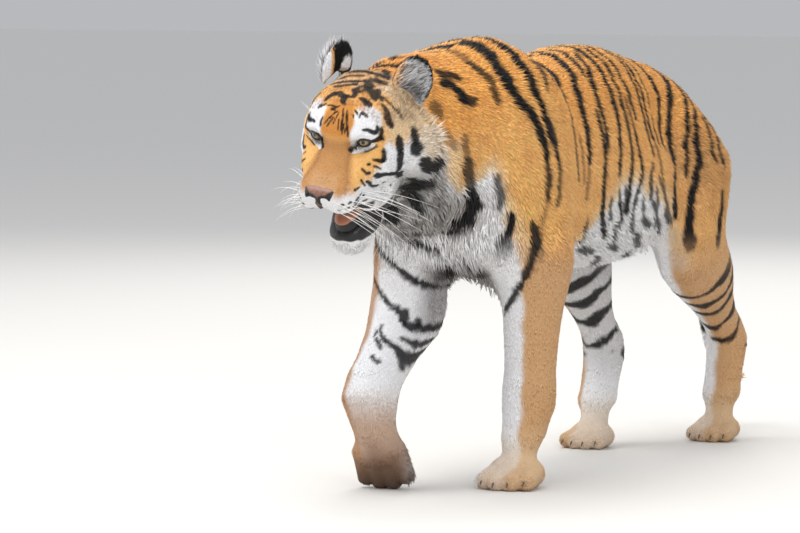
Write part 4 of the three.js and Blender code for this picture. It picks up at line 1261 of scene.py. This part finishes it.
def lieOfCoat(m, normals):
    # the way the hair points, along the skin
    p = m["p"]
    girth = m["girth"]
    flow = np.zeros_like(p)
    flow[:, 1] = 1
    flow[:, 2] = -0.6 * np.sin(np.radians(np.clip(girth, 0, 180))) - 0.12
    chest = smoothStep(-0.42, -0.56, p[:, 1]) * smoothStep(80, 115, girth)
    flow += (np.array([0, 0.1, -1]) - flow) * chest[:, None]
    neck = smoothStep(-0.45, -0.60, p[:, 1]) * (1 - m["headness"]) * smoothStep(115, 60, girth)
    flow += (np.array([0, 0.9, -0.55]) - flow) * neck[:, None]
    for leg in m["leg"].values():
        flow += (leg["direction"] + np.array([0, 0.25, 0]) - flow) * leg["amount"][:, None]
    flow += (m["tail"]["direction"] - flow) * m["tailness"][:, None]
    # head: back from the nose, up over the brow, and down on the ruff and the chin
    forward, up = m["head"][:, 1], m["head"][:, 2]
    droop = smoothStep(-20, -110, forward) * smoothStep(-10, -70, up)
    headFlow = unit(p - fromHead([0, 132, -74])) + np.array([0, 0.1, -1.0]) * droop[:, None]
    chin = smoothStep(-160, -190, up) * smoothStep(140, 60, forward)
    headFlow += np.array([0, 0.2, -0.9]) * chin[:, None]
    flow += (headFlow - flow) * m["headness"][:, None]
    flow -= (flow * normals).sum(1)[:, None] * normals
    return unit(flow)


def hairSize(m):
    # length and width of a lock in millimetres, how far it lifts, and locks per square metre
    f, u = m["head"][:, 1], m["head"][:, 2]
    girth, y, z = m["girth"], m["p"][:, 1], m["p"][:, 2]
    length = hairLength["trunk"] + hairLength["belly"] * smoothStep(105, 140, girth)
    length = length + hairLength["neck"] * smoothStep(-0.5, -0.62, y) * smoothStep(60, 100, girth)
    length += (hairLength["leg"] - length) * m["legness"]
    length += (hairLength["foot"] - length) * m["legness"] * smoothStep(0.12, 0.06, z)
    length += (hairLength["tail"] - length) * m["tailness"]
    face = faceHair["nose"] + faceHair["cheek"] * smoothStep(20, 55, np.abs(m["az"]))
    face = face + faceHair["crown"] * smoothStep(0, -90, f) * smoothStep(70, 30, u)
    face = face + faceHair["ruff"] * smoothStep(-85, -125, f) * smoothStep(20, -40, u)
    chin = faceHair["chin"] * smoothStep(-185, -215, u) * smoothStep(-30, 20, f)
    face += chin + faceHair["muzzle"] * smoothStep(60, 100, f)
    length += (face - length) * m["headness"]
    trunk = (1 - m["legness"]) * (1 - m["headness"])
    width = 0.9 + length * (0.10 - 0.015 * trunk)
    lift = 0.15 - 0.05 * m["legness"] + 0.07 * smoothStep(25, 45, length)
    lift = lift + 0.08 * m["headness"] * smoothStep(14, 30, length)
    layers = 2.1 + 1.9 * trunk + 2.1 * m["headness"]  # how many locks lie over each spot of skin
    return length, width, lift, layers / (length * width) * 1e6


def rootsOn(piece, density):
    # seeded places on a piece's triangles, with the normal and the unwrapped place of each
    mesh = piece.data
    points, normals = pointsOf(mesh), normalsOf(mesh)
    corners = np.empty(len(mesh.loops), np.int32)
    mesh.loops.foreach_get("vertex_index", corners)
    tris = corners.reshape(-1, 3)
    uv = np.empty(len(mesh.loops) * 2, np.float32)
    mesh.uv_layers["OFBake"].data.foreach_get("uv", uv)
    uv = uv.reshape(-1, 3, 2)
    a, b, c = points[tris[:, 0]], points[tris[:, 1]], points[tris[:, 2]]
    area = np.linalg.norm(np.cross(b - a, c - a), axis=1) / 2
    middles = (a + b + c) / 3
    expected = area * density(middles, unit(np.cross(b - a, c - a))) * coatPlan["share"]
    count = np.floor(expected + random.random(len(expected))).astype(int)
    chosen = np.repeat(np.arange(len(tris)), count)
    r1, r2 = np.sqrt(random.random(len(chosen))), random.random(len(chosen))
    w = np.stack([1 - r1, r1 * (1 - r2), r1 * r2], 1)[..., None]
    outward = unit((normals[tris[chosen]] * w).sum(1))
    return (points[tris[chosen]] * w).sum(1), outward, (uv[chosen] * w).sum(1)


def makeLocks(at, normals, flow, length, width, lift, stray):
    # every lock's five points, in metres; hairs clump and stray a little
    across = np.cross(flow, normals)
    flow = unit(flow + across * (stray * (ripple(at, 0.045, 1) + random.normal(0, 1, len(at))))[:, None])
    across = np.cross(flow, normals)
    length = length * random.uniform(*coatPlan["lengths"], len(at)) / 1000
    width = width * random.uniform(*coatPlan["widths"], len(at)) / 1000
    lift = lift * random.uniform(*coatPlan["lifts"], len(at)) + 0.04 * np.maximum(ripple(at, 0.03, 7), 0)
    rise = lockPoints[:, 1] * 1.25 - 0.25 * lockPoints[:, 1] ** 2
    return (at[:, None] - normals[:, None] * coatPlan["buried"]
            + across[:, None] * lockPoints[None, :, :1] * width[:, None, None]
            + flow[:, None] * lockPoints[None, :, 1:2] * length[:, None, None]
            + normals[:, None] * (rise[None, :, None] * (lift * length)[:, None, None]
                                  + lockPoints[None, :, 2:] * (width * 0.7)[:, None, None]))


def shadesOf(points, paint, light, rootTone):
    # each lock takes the markings where its middle and its tip lie; roots are painted darker and tips
    # lighter, as shade and light along the lock
    rootward = paint(points[:, 1:4].mean(1))
    tipward = paint(points[:, 1:4].mean(1) * 0.35 + points[:, 4] * 0.65)
    tone = (1 + random.normal(0, coatPlan["tones"], len(points)))[:, None] * np.reshape(light, (-1, 1))
    rootShade = rootward * tone * rootTone[:, None]
    middleShade = rootward * tone * coatPlan["middleTone"]
    tipShade = tipward * tone * coatPlan["tipTone"]
    return np.clip(np.stack([rootShade] + [middleShade] * 3 + [tipShade], 1), 0, 1)


def addCoatPiece(name, points, shades, rootUv):
    count = len(points)
    faces = (lockFaces[None] + 5 * np.arange(count)[:, None, None]).reshape(-1, 3)
    piece = meshFromArrays(name, points.reshape(-1, 3), faces)
    putColours(piece.data, "coat", shades.reshape(-1, 3))
    spots = rootUv[:, None] + ((lockPoints[:, :2] - [0, 0.5]) * 0.003)[None]
    layer = piece.data.uv_layers.new(name="OFBake")
    layer.data.foreach_set("uv", spots.reshape(-1, 2)[faces.ravel()].astype(np.float32).ravel())
    piece.data.materials.append(tuftFur)
    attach(piece, "root")
    print(" ", name, len(faces), "triangles")
    return len(faces)


def makeCoat():
    def density(middles, _):
        found = hairSize(bodyMap(middles))[3] * ~coatPaint(middles)[1]["inMouth"]
        for side in (1, -1):
            gap = np.linalg.norm(middles - eyeFrame(side)[0], axis=1)
            found *= gap > eyePlan["radius"] + eyePlan["clearOfCoat"]
        nose = toHead(middles) - [-2, 116, -88]
        return found * (np.linalg.norm(nose / [36, 16, 22], axis=1) > 1)

    at, normals, rootUv = rootsOn(skin, density)
    m = bodyMap(at)
    length, width, lift, _ = hairSize(m)
    points = makeLocks(at, normals, lieOfCoat(m, normals), length, width, lift, coatPlan["stray"])
    # no lock reaches below the floor
    points[..., 2] = np.maximum(points[..., 2], coatPlan["lowest"])
    # painted light and shade: the body's locks are brightened against the shade they cast on one another, and
    # their roots darkened
    light, rootTone = 1.22 - 0.22 * m["headness"], 0.75 + 0.17 * m["legness"]
    shades = shadesOf(points, lambda places: coatPaint(places)[0], light, rootTone)
    legs = {name: leg["amount"] > 0.5 for name, leg in m["leg"].items()}
    onHead, onTail = m["headness"] > 0.5, m["tailness"] > 0.5
    onFace = onHead & (m["head"][:, 1] > -40)
    groups = {  # a lock belongs to the first of these that wants it
        "coatFaceLeft": onFace & (m["head"][:, 0] >= 0),
        "coatFaceRight": onFace,
        "coatHead": onHead,
        "coatForelegs": legs["foreLeft"] | legs["foreRight"],
        "coatHindlegs": legs["hindLeft"] | legs["hindRight"],
        "coatTail": onTail,
        "coatNeck": at[:, 1] < -0.42,
        "coatFlankLeft": at[:, 0] > 0,
        "coatFlankRight": np.ones(len(at), bool),
    }
    free, total = np.ones(len(at), bool), 0
    for name, wanted in groups.items():
        chosen = np.nonzero(wanted & free)[0]
        free[chosen] = False
        parts = max(1, math.ceil(len(chosen) / coatPlan["mostLocks"]))
        for i, part in enumerate(np.array_split(chosen[np.argsort(at[chosen, 2])], parts)):
            if len(part):
                label = name + (str(i + 1) if parts > 1 else "")
                total += addCoatPiece(label, points[part], shades[part], rootUv[part])
    print("coat", len(at), "locks,", total, "triangles")


earHair = {  # locks per square metre at the rim, inside and on the back; lengths and widths in millimetres
    "atRim": 90000, "inside": 26000, "onBack": 240000, "length": 24, "rimShorter": 14, "outerShorter": 12,
    "backLength": 8.0, "fringe": 18, "width": 2.1, "backWidth": 1.5, "lift": 0.32, "backLift": 0.14,
    "stray": 0.22, "tones": 0.08, "shade": 0.3,
}


def makeEarHair(side):
    ear = ears[side]
    _, axes = earMap(side, np.zeros((1, 3)))

    def density(middles, normals):
        q, _ = earMap(side, middles)
        inner = openSide(side, normals)
        edge = np.hypot(q[:, 0] / earPlan["width"], q[:, 2] / earPlan["height"])
        within = earHair["atRim"] * smoothStep(0.35, 0.8, edge) + earHair["inside"]
        return np.where(inner > 0.5, within, earHair["onBack"]) * (q[:, 2] > -50)

    at, normals, rootUv = rootsOn(ear, density)
    q, _ = earMap(side, at)
    inner = openSide(side, normals)
    outward = 1 if side == "left" else -1
    # on the open side the hair sweeps over the hollow and outwards; on the back it lies towards the tip
    flow = np.where(inner[:, None] > 0.5, [[0.75 * outward, -0.35, 0.75]], [[0.0, 0.1, 1.0]]) @ axes.T
    fan = (q[:, :1] / earPlan["width"]) * axes[:, 0]
    flow = unit(flow + 0.5 * fan * (inner[:, None] < 0.5))
    flow = unit(flow - 0.8 * (flow * normals).sum(1)[:, None] * normals)
    edge = np.hypot(q[:, 0] / earPlan["width"], q[:, 2] / earPlan["height"])
    outer = smoothStep(-6, 14, outward * q[:, 0] + 0.35 * q[:, 2]) * (side == "left")
    inside = earHair["length"] - earHair["rimShorter"] * smoothStep(0.8, 0.95, edge)
    inside = inside - earHair["outerShorter"] * outer * smoothStep(0.3, 0.7, edge)
    length = np.where(inner > 0.5, inside, earHair["backLength"])
    fringe = (side == "right") * smoothStep(14, 30, q[:, 0])
    length = length + earHair["fringe"] * fringe * (inner > 0.3)
    width = np.where(inner > 0.5, earHair["width"], earHair["backWidth"])
    lift = np.where(inner > 0.5, earHair["lift"], earHair["backLift"])
    points = makeLocks(at, normals, flow, length, width, lift, earHair["stray"])
    base = earPaint(side, at, inner)
    # long pale hairs over the hollow, and among them some that lie deep in its shade
    tufts = 0.35 + 0.65 * smoothStep(-0.3, 0.5, ripple(at, 0.012, 5))
    pale = smoothStep(12, 20, length) * smoothStep(0.95, 0.8, edge) * tufts
    pale = (pale * smoothStep(-34, -14, q[:, 2] - 0.5 * outward * q[:, 0]))[:, None]
    base = base + (tint["white"] * 0.85 - base) * pale * 0.85
    deep = 0.3 + 0.3 * smoothStep(30, 12, np.hypot(q[:, 0], q[:, 2] + 18))
    shaded = (random.random(len(at)) < deep) & (inner > 0.5)
    shine = np.where(shaded, earHair["shade"], np.where(inner > 0.5, 1.1, 1.0))
    tone = ((1 + random.normal(0, earHair["tones"], len(at))) * shine)[:, None]
    # roots painted darker and tips lighter, as shade and light along each lock
    shades = np.stack([base * tone * 0.45] + [base * tone * 0.95] * 3 + [base * tone * 1.06], 1)
    addCoatPiece("earHair" + side.capitalize(), points, np.clip(shades, 0, 1), rootUv)


makeCoat()
makeEarHair("left")
makeEarHair("right")


# eyeballs and the rims of the lids
def eyeMaterial():
    # a wet eye: dark rimmed amber iris with a round pupil under a clear glossy front
    made, tree = newMaterial("wet eye")
    colour = addNode(tree, "ShaderNodeVertexColor", {"layer_name": "eye"})
    shader = addNode(tree, "ShaderNodeBsdfPrincipled", {
        "Roughness": 0.25, "IOR": 1.38, "Coat Weight": 1.0, "Coat Roughness": 0.03, "Coat IOR": 1.38},
        {"Base Color": colour.outputs["Color"]})
    finishMaterial(tree, shader)
    return made


eyeTints = {"pupil": "#040404", "inner": "#94825f", "iris": "#75674d", "edge": "#231c12", "white": "#3a2f2a"}


def makeEyes():
    paint = eyeMaterial()
    for side, name in ((1, "Left"), (-1, "Right")):
        centre, across, ahead, up = eyeFrame(side)
        bpy.ops.object.select_all(action="DESELECT")
        bpy.ops.mesh.primitive_uv_sphere_add(segments=96, ring_count=64, radius=eyePlan["radius"])
        ball = bpy.context.object
        ball.name = ball.data.name = "eye" + name
        p = pointsOf(ball.data)
        # the sphere's pole looks ahead, and the clear front bulges a little
        r = np.hypot(p[:, 0], p[:, 1])
        front = p[:, 2] > 0
        p[:, 2] += eyePlan["bulge"] * smoothStep(eyePlan["iris"] * 1.1, 0, r) * front
        turn = np.degrees(np.arctan2(p[:, 1], p[:, 0]))
        share = r / eyePlan["iris"]
        tints = {k: np.array(linear(v)) for k, v in eyeTints.items()}
        colours = np.full((len(p), 3), 1.0) * tints["white"]
        iris = tints["inner"] + (tints["iris"] - tints["inner"]) * smoothStep(0.4, 0.8, share)[:, None]
        iris *= (1 + 0.18 * np.sin(np.radians(turn * 37)) * np.sin(np.radians(turn * 11 + 40)))[:, None]
        # the upper lid shades the top of the iris
        iris *= (1 - 0.55 * smoothStep(-0.1, 0.8, p[:, 1] / eyePlan["iris"]))[:, None]
        colours += (iris - colours) * smoothStep(1.02, 0.96, share)[:, None]
        ring = smoothStep(0.84, 0.96, share) * smoothStep(1.1, 1.0, share)
        colours += (tints["edge"] - colours) * ring[:, None]
        colours += (tints["pupil"] - colours) * smoothStep(1.06, 0.94, r / eyePlan["pupil"])[:, None]
        colours[~front] = tints["white"]
        putColours(ball.data, "eye", colours)
        putPoints(ball.data, centre + p[:, :1] * across * side + p[:, 1:2] * up + p[:, 2:] * ahead)
        bpy.ops.object.shade_smooth()
        ball.data.materials.append(paint)
        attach(ball, "root")
        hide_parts("eye_" + name.lower())


def tubes(name, lines, sides=6):
    # tapered tubes along lists of (point, radius), closed at both ends
    allPoints, allFaces, base = [], [], 0
    for line in lines:
        places = np.array([p for p, _ in line])
        radii = np.array([r for _, r in line])[:, None, None]
        tangent = unit(np.gradient(places, axis=0))
        helper = [0.3, 0.2, 1.0] if abs(tangent[0, 2]) < 0.9 else [1.0, 0.1, 0]
        first = unit(np.cross(tangent, helper))
        second = np.cross(tangent, first)
        angles = (np.arange(sides) * 2 * math.pi / sides)[None, :, None]
        rings = places[:, None] + radii * (np.cos(angles) * first[:, None] + np.sin(angles) * second[:, None])
        n = len(places)
        allPoints += [rings.reshape(-1, 3), places[[0, -1]]]
        start, end = base + n * sides, base + n * sides + 1
        for j in range(sides):
            k = (j + 1) % sides
            for i in range(base, base + (n - 1) * sides, sides):
                allFaces += [(i + j, i + k, i + k + sides), (i + j, i + k + sides, i + j + sides)]
            last = base + (n - 1) * sides
            allFaces += [(start, base + k, base + j), (end, last + j, last + k)]
        base += n * sides + 2
    return meshFromArrays(name, np.concatenate(allPoints), np.array(allFaces))


def simpleMaterial(name, code, roughness, coat=0.0, grain=2.0, strength=0.15):
    made, tree = newMaterial(name)
    where = addNode(tree, "ShaderNodeTexCoord")
    noise = addNode(tree, "ShaderNodeTexNoise", {"Scale": 1000 / grain, "Detail": 3.0}, {
        "Vector": where.outputs["Object"]})
    shade = addNode(tree, "ShaderNodeMapRange", {"To Min": 0.8, "To Max": 1.15}, {
        "Value": noise.outputs["Fac"]})
    colour = addNode(tree, "ShaderNodeHueSaturation", {"Color": (*linear(code), 1)}, {
        "Value": shade.outputs["Result"]})
    bump = addNode(tree, "ShaderNodeBump", {"Strength": strength, "Distance": 0.0005}, {
        "Height": noise.outputs["Fac"]})
    shader = addNode(tree, "ShaderNodeBsdfPrincipled", {
        "Roughness": roughness, "IOR": 1.45, "Coat Weight": coat, "Coat Roughness": 0.2},
        {"Base Color": colour.outputs["Color"], "Normal": bump.outputs["Normal"]})
    finishMaterial(tree, shader)
    return made


def makeLidRims():
    lines = []
    for side in (1, -1):
        centre, across, ahead, up = eyeFrame(side)
        loop = []
        for i in range(49):
            turn = 2 * math.pi * i / 48
            h = math.cos(turn)
            top, low = lidHeight(np.array([h]))
            v = math.radians(float(top[0] if math.sin(turn) >= 0 else low[0]))
            angle = math.radians(h * eyePlan["lidHalf"])
            direction = (across * math.sin(angle) + ahead * math.cos(angle)) * math.cos(v) + up * math.sin(v)
            thick = eyePlan["rim"] * (1.3 if math.sin(turn) > 0 else 0.85)
            loop.append((centre + direction * (eyePlan["radius"] + eyePlan["rimOut"]), thick))
        lines.append(loop)
        # the dark tear corner runs down beside the nose
        angle, v = math.radians(-eyePlan["lidHalf"]), math.radians(eyePlan["corners"])
        direction = (across * math.sin(angle) + ahead * math.cos(angle)) * math.cos(v) + up * math.sin(v)
        corner = centre + direction * (eyePlan["radius"] + 0.0008)
        inward = -across * 0.008 + ahead * 0.004 - up * 0.006
        tear = ((-0.4, 0.0018), (0.4, 0.0024), (1, 0.0012))
        lines.append([(corner + inward * share, thick) for share, thick in tear])
    rims = tubes("eyelidRims", lines, 8)
    rims.data.materials.append(simpleMaterial("bare black eyelid", "#120e0d", 0.35, 0.4, 1.5))
    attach(rims, "root")


makeEyes()
makeLidRims()
print("eyes made")


# nose, tongue, whiskers and claws
def nostrils(q):
    # a round opening and the slit that runs up and outwards from it
    opening = lobeField(q, 15, 126, -86, (11, 12, 9))
    return softMin(opening, lobeField(q, 28, 118, -78, (14, 11, 6.5), (0, -32, 0)), 3)


def noseField(local):
    # the pad with its two wings and the strip down to the lip, less the nostrils
    side = np.abs(local[:, 0] + 2)
    q = np.stack([side, local[:, 1], local[:, 2]], 1)
    value = lobeField(q, 0, 110, -84, (32, 16, 19))
    value = softMin(value, lobeField(q, 25, 109, -80, (14, 14, 15)), 7)
    value = softMin(value, lobeField(q, 0, 112, -98, (7, 9, 14)), 7)
    value = softMin(value, lobeField(q, 0, 104, -72, (30, 16, 10)), 7)
    return -softMin(-value, nostrils(q), 3)


nosePlan = {"size": [40, 24, 30], "place": [-2, 108, -86], "lower": "#5c3d31", "upper": "#875f4e"}


def makeNose():
    bpy.ops.object.select_all(action="DESELECT")
    bpy.ops.mesh.primitive_ico_sphere_add(subdivisions=6, radius=1)
    nose = bpy.context.object
    nose.name = nose.data.name = "noseLeather"
    local = pointsOf(nose.data) * nosePlan["size"] + nosePlan["place"]
    local = onField(local, noseField, np.zeros(len(local)), 10)
    # dark in the nostrils as painted shade, and along the lower edge; paler on top and darker below as
    # painted shade
    q = np.stack([np.abs(local[:, 0] + 2), local[:, 1], local[:, 2]], 1)
    dark = smoothStep(6, 2, nostrils(q))
    edge = smoothStep(-94, -104, local[:, 2])
    low, high = [np.array(linear(nosePlan[key])) for key in ("lower", "upper")]
    base = low + (high - low) * smoothStep(-84, -68, local[:, 2])[:, None]
    base = base * (1 + 0.15 * ripple(fromHead(local), 0.012, 3))[:, None]
    base = mixed(base, "lip", np.maximum(dark, edge * 0.8))
    putPoints(nose.data, fromHead(local))
    putColours(nose.data, "coat", np.clip(base, 0, 1))
    bpy.ops.object.shade_smooth()
    made, tree = newMaterial("bare nose leather")
    colour = addNode(tree, "ShaderNodeVertexColor", {"layer_name": "coat"})
    where = addNode(tree, "ShaderNodeTexCoord")
    pebble = addNode(tree, "ShaderNodeTexVoronoi", {"Scale": 900.0}, {"Vector": where.outputs["Object"]})
    bump = addNode(tree, "ShaderNodeBump", {"Strength": 0.35, "Distance": 0.0005}, {
        "Height": pebble.outputs["Distance"]})
    shader = addNode(tree, "ShaderNodeBsdfPrincipled", {
        "Roughness": 0.45, "IOR": 1.45, "Coat Weight": 0.2, "Coat Roughness": 0.25},
        {"Base Color": colour.outputs["Color"], "Normal": bump.outputs["Normal"]})
    finishMaterial(tree, shader)
    nose.data.materials.append(made)
    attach(nose, "root")
    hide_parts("nose")


makeNose()
tongue = flesh("tongue", "tongue", 0.003, 6)
local = toHead(pointsOf(tongue.data))
middle = local.mean(0)
tonguePlan = {"stretch": [1.1, 1.0, 0.9], "lower": [0, 0, -10]}
putPoints(tongue.data, fromHead((local - middle) * tonguePlan["stretch"] + middle + tonguePlan["lower"]))
# the tongue is coloured darker and browner than it is, as painted shade inside the mouth
tongue.data.materials.append(simpleMaterial("moist tongue", "#a4684c", 0.4, 0.3, 1.5, 0.6))

whiskerPlan = {  # each row's height in degrees and its number of whiskers; the rest in metres
    "rows": [(-14, 5), (-18, 6), (-22, 6), (-26, 4)], "length": (0.085, 0.165), "root": 0.0007,
    "browLength": (0.045, 0.075), "browRoot": 0.0004,
}


def rootOnFace(az, el):
    # where a ray from the middle of the head leaves the skin's forms
    a, e = math.radians(az), math.radians(el)
    direction = np.array([math.sin(a) * math.cos(e), math.cos(a) * math.cos(e), math.sin(e)])
    steps = np.linspace(20, 200, 361)
    local = np.array([0, -headPlan["middleBack"], -headPlan["middleDown"]]) + steps[:, None] * direction
    inside = np.nonzero(headField(local) < -2)[0]
    return local[inside[-1]]


def whisker(start, reach, sag, root, count):
    # a curved hair that thins towards its tip
    return [(start + reach * t + sag * t * t, root * (1 - 0.8 * t)) for t in np.linspace(0, 1, count)]


def makeWhiskers():
    lines = []
    for side in (1, -1):
        for row, (el, count) in enumerate(whiskerPlan["rows"]):
            for i in range(count):
                local = rootOnFace(side * (13 + 4.2 * i + row), el - 0.7 * i)
                long = random.uniform(*whiskerPlan["length"]) * (0.65 + 0.09 * i)
                sideways = side * (0.95 + 0.1 * random.random())
                upward = -0.30 - 0.07 * row + 0.2 * random.normal()
                aim = unit(np.array([sideways, -0.25 - 0.13 * i, upward]))
                start = fromHead(local)
                heading = (aim * [1, -1, 1]) @ headTurn.T
                sag = np.array([0, 0.25, -0.35]) * random.uniform(0.5, 1.1)
                lines.append(whisker(start, heading * long, sag * long * 0.9, whiskerPlan["root"], 9))
        for i in range(4):  # and a few over each eye
            local = rootOnFace(side * (27 + 4 * i), 41 + 1.5 * i)
            heading = (unit(np.array([side * (0.25 + 0.12 * i), 0.5, 0.9])) * [1, -1, 1]) @ headTurn.T
            start, long = fromHead(local), random.uniform(*whiskerPlan["browLength"])
            sag = np.array([0, 0.2, -0.1]) * long
            lines.append(whisker(start, heading * long, sag, whiskerPlan["browRoot"], 7))
    whiskers = tubes("whiskers", lines, 5)
    whiskers.data.materials.append(simpleMaterial("stiff white whisker", "#f2f0ec", 0.35, 0.0, 4.0, 0.05))
    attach(whiskers, "root")


def makeClaws():
    lines = []
    for name, joints in limbs.items():
        for start, end, _, tip in footForms(name, joints)[:len(footPlan["toes"])]:
            ahead = unit(end - start)
            nose = end + ahead * (tip - 5) / 1000 + np.array([0, 0, 0.004])
            reach = np.array([ahead * 0.004, ahead * 0.009 - [0, 0, 0.003], ahead * 0.011 - [0, 0, 0.008]])
            lines.append([(nose, 0.0028)] + [(nose + r, w) for r, w in zip(reach, (0.0026, 0.0018, 0.0006))])
    claws = tubes("claws", [[(np.maximum(p, [-9, -9, 0.002]), r) for p, r in line] for line in lines], 8)
    claws.data.materials.append(simpleMaterial("grey horn claw", "#5d5248", 0.35, 0.2, 3.0, 0.1))
    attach(claws, "root")


makeWhiskers()
makeClaws()
print("nose, tongue, whiskers and claws made")
